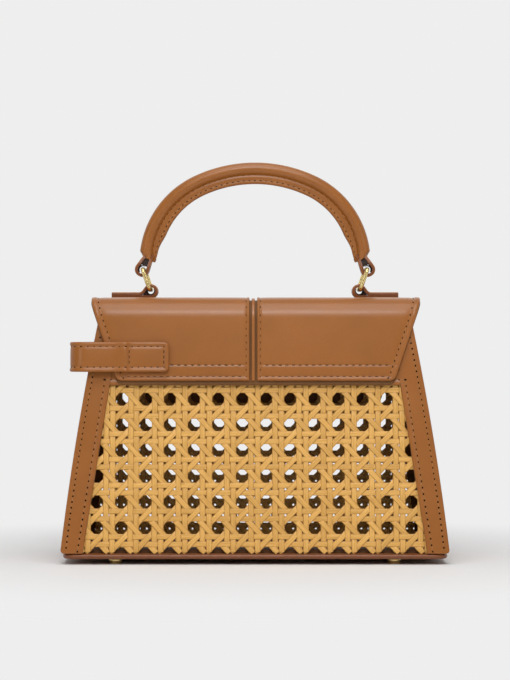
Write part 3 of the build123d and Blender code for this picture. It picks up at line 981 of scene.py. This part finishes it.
class BAG_OT_webbing(bpy.types.Operator):
    """Weave the cane webbing of both walls from upright, level and diagonal strands"""
    bl_idname = "bag.webbing"
    bl_label = "Cane Webbing"

    def execute(self, context):
        settings = context.scene.bag_webbing
        thickness = settings.thickness / MM
        upright = settings.upright / MM
        level = settings.level / MM
        diagonal = settings.diagonal / MM
        upright_offset = (UPRIGHT_GAP + upright) / 2
        level_offset = (LEVEL_GAP + level) / 2
        rise = WEAVE_RISE * thickness
        first = up_slope(WINDOW_TOP - FIRST_ROW)
        top = up_slope(WINDOW_TOP) + CANE_MARGIN
        columns = int(BASE_WIDTH / PITCH_X) // 2 + 1
        lines = int((0.5 * BASE_WIDTH + 10.0) / PITCH_X) + ROWS + 1

        def crossing(share, height):
            return (0.0, 0.0), (0.5 - share, height), (0.5 + share, -height), (1.0, 0.0)

        over_first = crossing(upright_offset / PITCH_X, rise)
        under_first = crossing(upright_offset / PITCH_X, -rise)
        low_over = crossing(level_offset / PITCH_Y, rise)
        low_under = crossing(level_offset / PITCH_Y, -rise)
        slanted = ((0.0, -thickness), (0.16, -thickness), (0.34, thickness), (0.66, thickness),
                   (0.84, -thickness), (1.0, -thickness))

        def phase_x(spot):
            return ((spot.x - CANE_SHIFT - PITCH_X / 2) / PITCH_X) % 1.0

        def phase_y(spot):
            return ((spot.y - first) / PITCH_Y) % 1.0

        for side, name in WALLS:
            chance = random.Random(settings.seed + side)
            shape = Shape()
            for column in range(-columns, columns + 1):
                middle = CANE_SHIFT + column * PITCH_X
                for edge, knots in ((-1, low_under), (1, low_over)):
                    x = middle + edge * upright_offset + chance.uniform(-STRAND_PLAY, STRAND_PLAY)
                    top_x = x + chance.uniform(-STRAND_SKEW, STRAND_SKEW)
                    add_strand(shape, side, (x, CANE_FOOT), (top_x, top), upright, thickness,
                               lambda spot: eased(phase_y(spot), knots), chance.random())
            for row in range(-1, ROWS):
                middle = first - (row + 0.5) * PITCH_Y
                for edge, knots in ((-1, over_first), (1, under_first)):
                    y = middle + edge * level_offset + chance.uniform(-STRAND_PLAY, STRAND_PLAY)
                    right_y = y + chance.uniform(-STRAND_SKEW, STRAND_SKEW)
                    add_strand(shape, side, (-BASE_WIDTH / 2, y), (BASE_WIDTH / 2, right_y), level,
                               thickness, lambda spot: eased(phase_x(spot), knots), chance.random())
            for number in range(-lines, lines + 1):
                for lean in (-1, 1):
                    cross_x = (CANE_SHIFT + PITCH_X / 2 + PITCH_X / 2 + number * PITCH_X
                               + chance.uniform(-DIAGONAL_PLAY, DIAGONAL_PLAY))
                    slope = lean * PITCH_Y / PITCH_X
                    low_x = cross_x + (CANE_FOOT - first) / slope
                    high_x = cross_x + (top - first) / slope
                    add_strand(shape, side, (low_x, CANE_FOOT), (high_x, top), diagonal, thickness,
                               lambda spot: -lean * eased(phase_x(spot), slanted), chance.random())
            ride(shape.build(f"{name}_webbing", ("cane",), 60.0), "root", "cane", f"{name}_cane")
        return {"FINISHED"}


class BAG_OT_gussets(bpy.types.Operator):
    """Build the side leathers, each with its soft fold inwards"""
    bl_idname = "bag.gussets"
    bl_label = "Gussets"

    def execute(self, context):
        top = RIM_HEIGHT - GUSSET_DROP
        middle = (WALL_FOOT + top) / 2
        for side_x, name in SIDES:
            shape = Shape()
            rings = []
            for number in range(GUSSET_LEVELS + 1):
                height = WALL_FOOT + (top - WALL_FOOT) * number / GUSSET_LEVELS
                climb = up_slope(height)
                low, mid, high = GUSSET_FOLDS
                if height < middle:
                    share = (height - WALL_FOOT) / (middle - WALL_FOOT)
                    fold = low + (mid - low) * share ** 1.3
                else:
                    share = (height - middle) / (top - middle)
                    fold = mid + (high - mid) * share
                inset = LOWER_INSET * max(0.0, 1 - (height - WALL_FOOT) / LOWER_CORNER)
                edge = half_width(climb) - inset
                flange = half_width(climb) - GUSSET_FLANGE
                depth = wall_y(height, -FRAME_THICKNESS)
                corners = [(flange, -depth), (edge, -depth), (edge - fold, 0), (edge, depth),
                           (flange, depth)]
                line = Path(rounded_line(corners, GUSSET_BEND))
                outer = []
                inner = []
                for step in range(GUSSET_STEPS + 1):
                    (x, y), (nx, ny) = line.at(line.length * step / GUSSET_STEPS)
                    outer.append(Vector((side_x * x, y, height)))
                    inner.append(Vector((side_x * (x + nx * GUSSET_THICKNESS),
                                         y + ny * GUSSET_THICKNESS, height)))
                rings.append(outer + inner[::-1])
            shape.loft(rings, ([0] * GUSSET_STEPS + [1]) * 2)
            ride(shape.build(f"{name}_gusset_leather", PAINTED_LEATHER), "root", "tan_leather",
                 f"gusset_{name}")
        return {"FINISHED"}


def cover_line(yoke_end, flap_end):
    """Inner line of the cover in the YZ plane, from the back over the top to the front."""
    thickness = LINING_THICKNESS + PANEL_THICKNESS
    top = COVER_TOP - thickness
    corners = [(-wall_y(yoke_end, 0.0), yoke_end), (-wall_y(top, 0.0), top),
               (wall_y(top, CLEARANCE), top), (wall_y(flap_end, CLEARANCE), flap_end)]
    return Path(rounded_line(corners, SHOULDER_RADIUS - thickness))


def cover_half(height, inset):
    """Half the width of the yoke or flap at a height."""
    return COVER_HALF_WIDTH - inset - max(0.0, SLANT_START - height) * tan(COVER_SLANT)


def cover_leather(x_from, x_to, inset_side, inset_base, base, thickness, puff, relief=None):
    """One layer of the cover: x_from and x_to are None where it runs out to its slanted side."""
    line = cover_line(YOKE_EDGE + inset_base, FLAP_EDGE + inset_base)

    def edges(along):
        height = line.point(along)[1]
        end = min(along, line.length - along)
        half = cover_half(height, inset_side) - fall(end, COVER_CORNER)
        return (-half if x_from is None else x_from), (half + COVER_SKEW if x_to is None else x_to)

    def place(across, along, height):
        (y, z), (ny, nz) = line.at(along)
        return Vector((across, y + ny * (base + height), z + nz * (base + height)))

    sewn = [SIDE_ROW if limit is None else CHANNEL_ROW for limit in (x_from, x_to)] + [BASE_ROW]
    return Leather(place, edges, line.length, thickness, radius=0.45, puff=puff, sewn=sewn,
                   pinch=0.2, relief=relief)


def bend_with_flap(piece, slot_name, *nodes):
    """Bake a piece's placement into its mesh, and hide the nodes of the frame it stands in for."""
    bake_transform(piece)
    if nodes:
        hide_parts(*nodes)


class BAG_OT_cover(bpy.types.Operator):
    """Build the yoke and flap as whole pieces of leather that bend at the back shoulder"""
    bl_idname = "bag.cover"
    bl_label = "Yoke and Flap"

    def execute(self, context):
        puff = context.scene.bag_leather.puff / MM
        # The lining's strip below the panels gets its darker colour partly as painted shade
        lining = cover_leather(None, None, 0.0, 0.0, 0.0, LINING_THICKNESS, 0.0)
        bend_with_flap(lining.build("cover_lining_leather", PAINTED_LINING, COVER_STEP),
                       "lining_leather", "yoke_lining", "flap_lining")
        stitching = Stitching()
        for side_x, name in SIDES:
            inner = CHANNEL_SHIFT + side_x * CHANNEL_WIDTH / 2
            limits = (None, inner) if side_x == LEFT else (inner, None)

            def second_row(across, along):
                end = min(along, total - along)
                return -0.16 * exp(-((end - UPPER_ROW) / 0.45) ** 2)

            panel = cover_leather(*limits, PANEL_INSET_SIDE, PANEL_INSET_BASE, LINING_THICKNESS,
                                  PANEL_THICKNESS, puff, second_row)
            total = panel.length
            skin = panel.build(f"cover_{name}_panel", step=COVER_STEP,
                               rows=(UPPER_ROW, total - UPPER_ROW))
            bend_with_flap(skin, "tan_leather", f"yoke_{name}_panel", f"flap_{name}_panel")

            def outer_row(distance, lift):
                along = distance + 1.5
                edge = panel.edges(along)[0 if side_x == LEFT else 1]
                return panel.surface(edge - side_x * SIDE_ROW, along, lift)

            stitching.row(outer_row, total - 3.0, SIDE_PITCH)
            beside = inner + side_x * CHANNEL_ROW
            stitching.seam(panel, (beside, BASE_ROW), (beside, total - BASE_ROW), CHANNEL_PITCH)
            for inset in (BASE_ROW, UPPER_ROW, total - UPPER_ROW, total - BASE_ROW):
                low, high = panel.edges(inset)
                stitching.seam(panel, (low + panel.sewn[0], inset), (high - panel.sewn[1], inset),
                               LEVEL_PITCH, LONG_HOLE)
        strip = cover_leather(CHANNEL_SHIFT - STRIP_WIDTH / 2, CHANNEL_SHIFT + STRIP_WIDTH / 2,
                              0.0, PANEL_INSET_BASE, LINING_THICKNESS, STRIP_THICKNESS, 0.0)
        bend_with_flap(strip.build("cover_centre_strip", ("calf_leather", "calf_leather")),
                       "tan_leather", "yoke_centre_strip", "flap_centre_strip")
        bend_with_flap(stitching.build("cover_stitching"), "tan_leather")
        return {"FINISHED"}


def belt_leather(side, first_layer, thickness, side_face, reach, puff, relief=None):
    """One layer of the belt or the closure tab, along a wall and round the left side."""
    wall = wall_y(BELT_BASE, first_layer)
    face = side_face - thickness
    bend = BELT_BEND - (BELT_SIDE - side_face) - thickness
    corners = [(-BELT_END, side * wall), (-face, side * wall), (-face, -side * reach)]
    line = Path(rounded_line(corners, bend))
    lean = Vector((0, -side * sin(WALL_LEAN), cos(WALL_LEAN)))
    tall = BELT_HEIGHT / cos(WALL_LEAN)

    def edges(along):
        corner = fall(along, BELT_CORNER) + fall(line.length - along, BELT_CORNER)
        return corner, tall - corner

    def place(across, along, height):
        (x, y), (nx, ny) = line.at(along)
        out = height * -side
        return Vector((x + nx * out, y + ny * out, BELT_BASE)) + lean * across

    return Leather(place, edges, line.length, thickness, radius=0.55, puff=puff,
                   sewn=(BELT_ROW, BELT_ROW, BOX_NEAR), pinch=0.18, relief=relief,
                   crease=0.1 if puff else 0.0)


class BAG_OT_belt(bpy.types.Operator):
    """Build the belt on the back, the closure tab that meets it, and their stitched boxes"""
    bl_idname = "bag.belt"
    bl_label = "Belt and Closure Tab"

    def execute(self, context):
        puff = context.scene.bag_leather.puff / MM * 1.2
        wall_layer = LINING_THICKNESS + PANEL_THICKNESS
        closure_side = BELT_SIDE - BELT_OUTER - BELT_LINING - CLEARANCE
        makes = (("belt", BACK, "root", wall_layer, BELT_SIDE, BELT_REACH),
                 ("closure_tab", FRONT, "flap", wall_layer + CLEARANCE, closure_side,
                  CLOSURE_REACH))

        def relief(across, along):
            beyond = along - BOX_FAR
            pulled = 0.2 * exp(-(beyond / 0.5) ** 2)
            loose = 0.95 * exp(-((beyond - 2.1) / (1.3 if beyond < 2.1 else 4.0)) ** 2)
            return (loose if beyond > 0 else 0.0) - pulled

        for name, side, body, layer, side_face, reach in makes:
            lining = belt_leather(side, layer, BELT_LINING, side_face - BELT_OUTER, reach, 0.0)
            ride(lining.build(f"{name}_lining_leather", PAINTED_LINING), body, "lining_leather",
                 f"{name}_lining")
            outer = belt_leather(side, layer + BELT_LINING, BELT_OUTER, side_face, reach, puff,
                                 relief)
            ride(outer.build(f"{name}_outer_leather", step=2.0, rows=(BOX_FAR,)), body,
                 "tan_leather", f"{name}_outer")
            finish_node(f"{name}_magnet", "nickel")
            stitching = Stitching()
            end = outer.length - BOX_NEAR
            high = outer.edges(outer.length / 2)[1] - BELT_ROW
            for across in (BELT_ROW, high):
                stitching.seam(outer, (across, BOX_NEAR), (across, end))
            for along in (BOX_NEAR, BOX_FAR, end):
                stitching.seam(outer, (BELT_ROW, along), (high, along), BOX_PITCH, LONG_HOLE)
            ride(stitching.build(f"{name}_stitching"), body, "tan_leather")
        return {"FINISHED"}


def strap_leather(line, puff=0.12):
    """Strap of leather that follows a line in the XZ plane, with the line on its inner face."""
    def edges(along):
        return -STRAP_WIDTH / 2, STRAP_WIDTH / 2

    def place(across, along, height):
        (x, z), (nx, nz) = line.at(along)
        return Vector((x + nx * height, across, z + nz * height))

    return Leather(place, edges, line.length, STRAP, radius=0.5, puff=puff, sewn=(STRAP_ROW,) * 3,
                   pinch=0.1)


def ring_direction(side):
    """Unit vector up along the leaning ring of one side."""
    return Vector((side * sin(RING_LEAN), 0, cos(RING_LEAN)))


def tab_loop_centre(side):
    """Middle of the loop in the tab of one side."""
    return Vector((side * TAB_X, 0, COVER_TOP + HOLE_RADIUS + STRAP))


def handle_loop_centre(side):
    """Middle of the loop at one end of the handle."""
    seat = HOLE_RADIUS - RING_WIRE / 2 - CLEARANCE
    return tab_loop_centre(side) + ring_direction(side) * (2 * seat + RING_REACH)


def wire_rings(side):
    """Rings of round wire, once round the rounded box that the ring of one side is bent to."""
    up = ring_direction(side)
    level = Vector((0, 1, 0))
    wide = level * cos(RING_TWIST) + up.cross(level) * (side * sin(RING_TWIST))
    out = up.cross(wide)
    middle = (tab_loop_centre(side) + handle_loop_centre(side)) / 2
    half_wide = (STRAP_WIDTH + RING_WIRE) / 2 + RING_PLAY
    loop = rounded_box(half_wide, RING_REACH / 2, RING_CORNER, 0.3)
    rings = []
    for number in range(RING_STEPS):
        (a, b), (na, nb) = loop.at(loop.length * (number + 0.5) / RING_STEPS)
        core = middle + wide * a + up * b
        aside = wide * na + up * nb
        turns = [2 * pi * k / WIRE_SIDES for k in range(WIRE_SIDES)]
        rings.append([core + (aside * cos(turn) + out * sin(turn)) * (POLISHED_WIRE / 2)
                      for turn in turns])
    return rings


def liner_rings(liner, hub, half):
    """Rings of a crescent between the hole round a hub and the smaller circle of a liner."""
    (middle_x, middle_z), radius, start, end = liner
    # The outer side lies a little inside the leather round the hole
    sunk = HOLE_RADIUS + 0.2
    rings = []
    for number in range(LINER_STEPS + 1):
        angle = radians(start + (end - start) * number / LINER_STEPS)
        inner = (middle_x + radius * cos(angle), middle_z + radius * sin(angle))
        outer = (hub[0] + sunk * cos(angle), hub[1] + sunk * sin(angle))
        rings.append([(*outer, -half), (*outer, half), (*inner, half), (*inner, -half)])
    return rings


def mirrored(points, side):
    """Points of a right-hand line, turned over for the left and kept running the same way round."""
    return points if side == RIGHT else [(-x, z) for x, z in points][::-1]


def touch_angle(centre, radius, point, turn):
    """Angle on a circle where a straight line to a point outside touches it."""
    away = Vector(point) - Vector(centre)
    return np.arctan2(away.y, away.x) + turn * np.arccos(radius / away.length)


class BAG_OT_tabs(bpy.types.Operator):
    """Build the doubled leather tabs on the flap and finish the rings they hold"""
    bl_idname = "bag.tabs"
    bl_label = "Tabs and Rings"

    def execute(self, context):
        centre = tab_loop_centre(RIGHT)
        hub = (centre.x, centre.z)
        end = centre.x + TAB_LENGTH
        # Both layers share one inner line from the wedge outwards, where they lie on each other
        lower = centre.z - HOLE_RADIUS
        wedge = (centre.x + TAB_WEDGE, lower - 0.05)
        touch = touch_angle(hub, HOLE_RADIUS, wedge, 1)
        around = [(end, lower)]
        around += arc_points(hub, HOLE_RADIUS, radians(-90), touch - radians(270))
        around += rounded_line([around[-1], wedge, (end, wedge[1])], LOOP_BLEND)[1:]
        beside = STRAP_WIDTH / 2 - STRAP_ROW
        half = STRAP_WIDTH / 2 - FILLER_INSET
        for side, name in SIDES:
            tab = strap_leather(Path(mirrored(around, side)))
            marks = (TAB_ROW_START, TAB_ROW_START + TAB_ROW_LENGTH)
            near, far = marks if side == LEFT else [tab.length - mark for mark in marks]
            stitching = Stitching()
            for across in (-beside, beside):
                stitching.seam(tab, (across, near), (across, far), TAB_PITCH)
            stitching.seam(tab, (-beside, near), (beside, near), TAB_PITCH)
            ride(tab.build(f"{name}_tab_leather", step=1.2), "flap", "tan_leather",
                 f"handle_tab_{name}")
            ride(stitching.build(f"{name}_tab_stitching"), "flap", "tan_leather")
            # Leather filler closes the wedge behind the loop and lines the lower half of its hole;
            # its near-black colour is painted shade
            shade_filler = Shape()
            wedges = [[(x, z, y) for x, z in TAB_FILLER] for y in (-half, half)]
            for rings in (wedges, liner_rings(TAB_LINER, (0.0, 0.0), half)):
                shade_filler.loft([[Vector((side * (hub[0] + x), y, hub[1] + z)) for x, z, y in ring]
                             for ring in rings])
            ride(shade_filler.build(f"{name}_tab_filler", ("shade_filler",), 35.0), "flap", "tan_leather")
            ring = Shape()
            ring.loft(wire_rings(side), closed=True)
            ride(ring.build(f"{name}_ring_wire", ("gold",)), f"ring_{name}", "gold_metal",
                 f"ring_{name}")
        return {"FINISHED"}


def handle_line():
    """Middle line of the handle over its three arcs, from the left end to the right end."""
    crown_middle = HANDLE_TOP - HANDLE_DEPTH / 2 - CROWN_RADIUS
    shift = CROWN_RADIUS - SIDE_RADIUS
    side_x = shift * sin(CROWN_ANGLE)
    side_z = crown_middle + shift * cos(CROWN_ANGLE)
    sweep = END_ANGLE - CROWN_ANGLE
    points = arc_points((-side_x, side_z), SIDE_RADIUS, pi / 2 + END_ANGLE, -sweep)
    points += arc_points((0.0, crown_middle), CROWN_RADIUS, pi / 2 + CROWN_ANGLE,
                         -2 * CROWN_ANGLE)[1:]
    points += arc_points((side_x, side_z), SIDE_RADIUS, pi / 2 - CROWN_ANGLE, -sweep)[1:]
    return Path(points)


def grip_section():
    """Outline of the padded grip, sideways and outward: a round roll over a sewn flange."""
    roll_middle = HANDLE_DEPTH / 2 - ROLL_RADIUS
    roll = [(ROLL_RADIUS * cos(radians(angle)), roll_middle + ROLL_RADIUS * sin(radians(angle)))
            for angle in range(90, -50, -10)]
    half = roll + list(FLANGE)
    return half + [(-x, z) for x, z in reversed(half[1:])]


class Neck:
    """End of the handle, measured up from the middle of its loop and outward from its own line."""

    def __init__(self, side, line):
        centre = handle_loop_centre(side)
        (x, z), (nx, nz) = line.at(0.0 if side == LEFT else line.length)
        self.side = side
        self.centre = Vector((centre.x, centre.z))
        self.facing = Vector((nx, nz))
        self.length = (Vector((x, z)) - self.centre).length
        self.up = (Vector((x, z)) - self.centre).normalized()
        self.out = Vector((-self.up.y, self.up.x)) * -side

    def flat(self, climb, outward):
        """Place in the XZ plane."""
        return self.centre + self.up * climb + self.out * outward

    def spot(self, climb, outward, sideways):
        """Place in space."""
        place = self.flat(climb, outward)
        return Vector((place.x, sideways, place.y))

    def grip_rings(self, section):
        """Rings of the grip's end, where the roll slims down to the doubled strap."""
        rings = []
        for share in (0.12, 0.25, 0.4, 0.55, 0.7, 0.85, 0.96, 1.0, 1.06):
            facing = self.facing.lerp(self.out, min(share, 1.0)).normalized()
            middle = self.flat(self.length + (NECK_TOP - self.length) * share, 0.0)
            settled = min(share, 1.0) ** 1.15
            close = 1.0 if share <= 1.0 else 0.9
            ring = []
            for sideways, outward in section:
                outward = flange_place(outward, 0.0)
                if outward > -0.5:
                    target = NECK_OUT + (outward - HANDLE_DEPTH / 2) * 0.913
                    wide = sideways * (1 + 0.06 * settled)
                else:
                    target = NECK_FLANGE + (outward - FLANGE_START) * 0.5
                    wide = sideways
                away = (outward + (target - outward) * settled) * close
                spot = middle + facing * away
                ring.append(Vector((spot.x, wide * close, spot.y)))
            rings.append(ring)
        return rings

    def strap_line(self):
        """Inner line of the strap, down one side of the neck, round the hole and up the other."""
        hub = (0.0, -LOOP_DROP)
        drops = [(NECK_GAP[0], NECK_TOP), (-NECK_GAP[1], NECK_TOP)]
        angles = [touch_angle(hub, HOLE_RADIUS, drop, turn) for drop, turn in zip(drops, (-1, 1))]
        points = [(NECK_GAP[0], self.length - 0.8), drops[0]]
        points += arc_points(hub, HOLE_RADIUS, angles[0], angles[1] - angles[0] - 2 * pi)
        points += [drops[1], (-NECK_GAP[1], self.length - 0.8)]
        placed = [self.flat(climb, outward) for outward, climb in points]
        return Path(placed if self.side == RIGHT else placed[::-1])

    def filler_rings(self):
        """Rings of the leather filler between the two sides of the strap."""
        rings = []
        for climb in (1.5, 1.9, 2.6, 3.5, 4.7, NECK_TOP, 8.0, self.length - 1.0):
            flare = max(NECK_TOP - climb, 0.0) * 0.17
            half = strap_half(self.length - 0.8 - climb) - (1.2 if climb < 1.6 else 0.8)
            outer, inner = NECK_GAP[0] + flare, -NECK_GAP[1] - flare
            rings.append([self.spot(climb, *corner) for corner in ((outer, half), (inner, half),
                                                                   (inner, -half), (outer, -half))])
        return rings


def flange_place(outward, end):
    """Where a place on the flange lies once the flange tapers towards the end of the handle."""
    if outward > -0.5:
        return outward
    share = min(end / FLANGE_RUN, 1.0)
    taper = FLANGE_TAPER + (1 - FLANGE_TAPER) * smooth(share)
    return FLANGE_START + (outward - FLANGE_START) * taper


def strap_half(end):
    """Half the width of the handle's strap at a distance from its end inside the grip."""
    share = min(max((end - 3.0) / 5.0, 0.0), 1.0)
    return NECK_HALF + (STRAP_WIDTH / 2 - NECK_HALF) * smooth(share)


class BAG_OT_handle(bpy.types.Operator):
    """Build the padded handle with its sewn flange, and the loops at its ends"""
    bl_idname = "bag.handle"
    bl_label = "Handle"

    def execute(self, context):
        line = handle_line()
        section = grip_section()
        necks = {name: Neck(side, line) for side, name in SIDES}
        rings = necks["left"].grip_rings(section)[::-1]
        for step in range(HANDLE_STEPS + 1):
            spot = line.length * step / HANDLE_STEPS
            (x, z), (nx, nz) = line.at(spot)
            ring = []
            for sideways, outward in section:
                away = flange_place(outward, min(spot, line.length - spot))
                ring.append(Vector((x + nx * away, sideways, z + nz * away)))
            rings.append(ring)
        rings += necks["right"].grip_rings(section)
        shape = Shape()
        shape.loft(rings)
        grip = shape.build("handle_grip", ("calf_leather",), 70.0)
        ride(grip, "handle", "tan_leather", "handle_cover")
        finish_node("handle_core", "board")
        stitching = Stitching()
        for side_y in (-1, 1):
            for outward, sideways in FLANGE_ROWS:
                def flange_row(distance, lift):
                    (x, z), (nx, nz) = line.at(distance + 0.5)
                    away = flange_place(outward, min(distance, line.length - distance))
                    return Vector((x + nx * away, side_y * (sideways + lift), z + nz * away))

                stitching.row(flange_row, line.length - 1.0, FLANGE_PITCH)
        for name, neck in necks.items():
            loop = neck.strap_line()
            strap = strap_leather(loop, 0.1)

            def narrowed(along):
                half = strap_half(min(along, loop.length - along))
                return -half, half

            strap.edges = narrowed
            ride(strap.build(f"handle_{name}_loop_leather", step=1.0), "handle", "tan_leather",
                 f"handle_loop_{name}")
            # Leather filler between the strap's sides and round the hole, near-black as painted shade
            shade_filler = Shape()
            shade_filler.loft(neck.filler_rings())
            shade_filler.loft([[neck.spot(climb, outward, y) for outward, climb, y in ring]
                         for ring in liner_rings(NECK_LINER, (0.0, -LOOP_DROP), NECK_HALF + 0.6)])
            ride(shade_filler.build(f"handle_{name}_filler", ("shade_filler",), 35.0), "handle", "tan_leather")
            # Bar tack of three threads over the end of the flange
            for climb in (NECK_TOP + 0.5, NECK_TOP + 1.1, NECK_TOP + 1.7):
                def tack(distance, lift):
                    return neck.spot(climb, NECK_FLANGE - 1.6 - lift, distance)

                stitching.oval(tack, 0.0, 2.2, stitching.thread * 0.9, stitching.thread, 0.1, 0)
        ride(stitching.build("handle_stitching"), "handle", "tan_leather")
        return {"FINISHED"}


def soft_light(name, place, size, watts):
    """Large square lamp aimed at the bag, with its place and size in millimetres."""
    lamp = bpy.data.lights.new(name, "AREA")
    lamp.shape = "SQUARE"
    lamp.size = size * MM
    lamp.energy = watts
    made = bpy.data.objects.new(name, lamp)
    bpy.context.scene.collection.objects.link(made)
    made.location = Vector(place) * MM
    aim = Vector(LIT_PLACE) - Vector(place)
    made.rotation_euler = aim.to_track_quat("-Z", "Y").to_euler()


class BAG_OT_stage(bpy.types.Operator):
    """Lay the pale floor, set the soft lights and place the camera at the photograph's angle"""
    bl_idname = "bag.stage"
    bl_label = "Studio"

    def execute(self, context):
        scene = context.scene
        settings = scene.bag_stage
        floor = Shape()
        for sign_x, sign_y in ((-1, -1), (1, -1), (1, 1), (-1, 1)):
            floor.points.append(Vector((sign_x * FLOOR_REACH, sign_y * FLOOR_REACH, 0.0)))
        floor.face(range(4))
        floor.build("floor", ("paper",))
        world = bpy.data.worlds.new("studio_air")
        scene.world = world
        world.use_nodes = True
        tree = world.node_tree
        tree.nodes.clear()
        path = node(tree, "ShaderNodeLightPath").outputs
        seen = calculate(tree, "MAXIMUM", path["Is Camera Ray"], path["Is Transmission Ray"])

        def air(rgb, strength, links=None):
            values = {"Color": opaque(rgb), "Strength": strength}
            return node(tree, "ShaderNodeBackground", None, links, values).outputs["Background"]

        def mixed(share, first, second):
            links = {0: share, 1: first, 2: second}
            return node(tree, "ShaderNodeMixShader", links=links).outputs["Shader"]

        # Gloss shows the pale backdrop behind the bag and the dimmer room in front of it
        toward = node(tree, "ShaderNodeSeparateXYZ",
                      links={"Vector": node(tree, "ShaderNodeTexCoord").outputs["Generated"]})
        backdrop = remap(tree, toward.outputs["Y"], -0.3, 0.4, settings.room)
        glossy = mixed(path["Is Glossy Ray"], air((1.0, 1.0, 1.0), settings.fill),
                       air(settings.ground, 1.0, {"Strength": backdrop}))
        node(tree, "ShaderNodeOutputWorld",
             links={"Surface": mixed(seen, glossy, air(settings.ground, 1.0))})
        for name, (place, size, power_setting) in LAMPS.items():
            soft_light(name, place, size, getattr(settings, power_setting))
        lens = bpy.data.cameras.new("camera")
        lens.lens = CAMERA_LENS
        lens.sensor_width = SENSOR
        lens.sensor_fit = "AUTO"
        lens.clip_start = 0.05
        camera = bpy.data.objects.new("camera", lens)
        scene.collection.objects.link(camera)
        camera.location = Vector(CAMERA_PLACE) * MM
        camera.rotation_euler = (radians(90), 0, 0)
        scene.camera = camera
        scene.view_settings.view_transform = "Standard"
        return {"FINISHED"}


class BAG_PT_panel(bpy.types.Panel):
    """Panel that lists the pieces of the bag"""
    bl_idname = "BAG_PT_panel"
    bl_label = "Leather and Cane Bag"
    bl_space_type = "VIEW_3D"
    bl_region_type = "UI"
    bl_category = "Bag"

    def draw(self, context):
        column = self.layout.column(align=True)
        for operator in OPERATORS:
            column.operator(operator.bl_idname)
        for name in SETTINGS:
            settings = getattr(context.scene, name)
            box = self.layout.box()
            for key in settings.bl_rna.properties.keys():
                if key not in ("rna_type", "name"):
                    box.prop(settings, key)


SETTINGS = {
    "bag_leather": BagLeatherSettings,
    "bag_stitch": BagStitchSettings,
    "bag_webbing": BagWebbingSettings,
    "bag_metal": BagMetalSettings,
    "bag_stage": BagStageSettings,
}
OPERATORS = (BAG_OT_base, BAG_OT_walls, BAG_OT_webbing, BAG_OT_gussets, BAG_OT_cover, BAG_OT_belt,
             BAG_OT_tabs, BAG_OT_handle, BAG_OT_stage)


def register():
    """Register the settings, the operators and the panel."""
    for name, settings in SETTINGS.items():
        bpy.utils.register_class(settings)
        setattr(bpy.types.Scene, name, PointerProperty(type=settings))
    for operator in OPERATORS:
        bpy.utils.register_class(operator)
    bpy.utils.register_class(BAG_PT_panel)


def unregister():
    """Take away what register added."""
    bpy.utils.unregister_class(BAG_PT_panel)
    for operator in reversed(OPERATORS):
        bpy.utils.unregister_class(operator)
    for name, settings in reversed(SETTINGS.items()):
        delattr(bpy.types.Scene, name)
        bpy.utils.unregister_class(settings)


def main():
    """Build the whole bag."""
    register()
    bpy.ops.bag.base()
    bpy.ops.bag.walls()
    bpy.ops.bag.webbing()
    bpy.ops.bag.gussets()
    bpy.ops.bag.cover()
    bpy.ops.bag.belt()
    bpy.ops.bag.tabs()
    bpy.ops.bag.handle()
    bpy.ops.bag.stage()


if __name__ == "__main__":
    main()
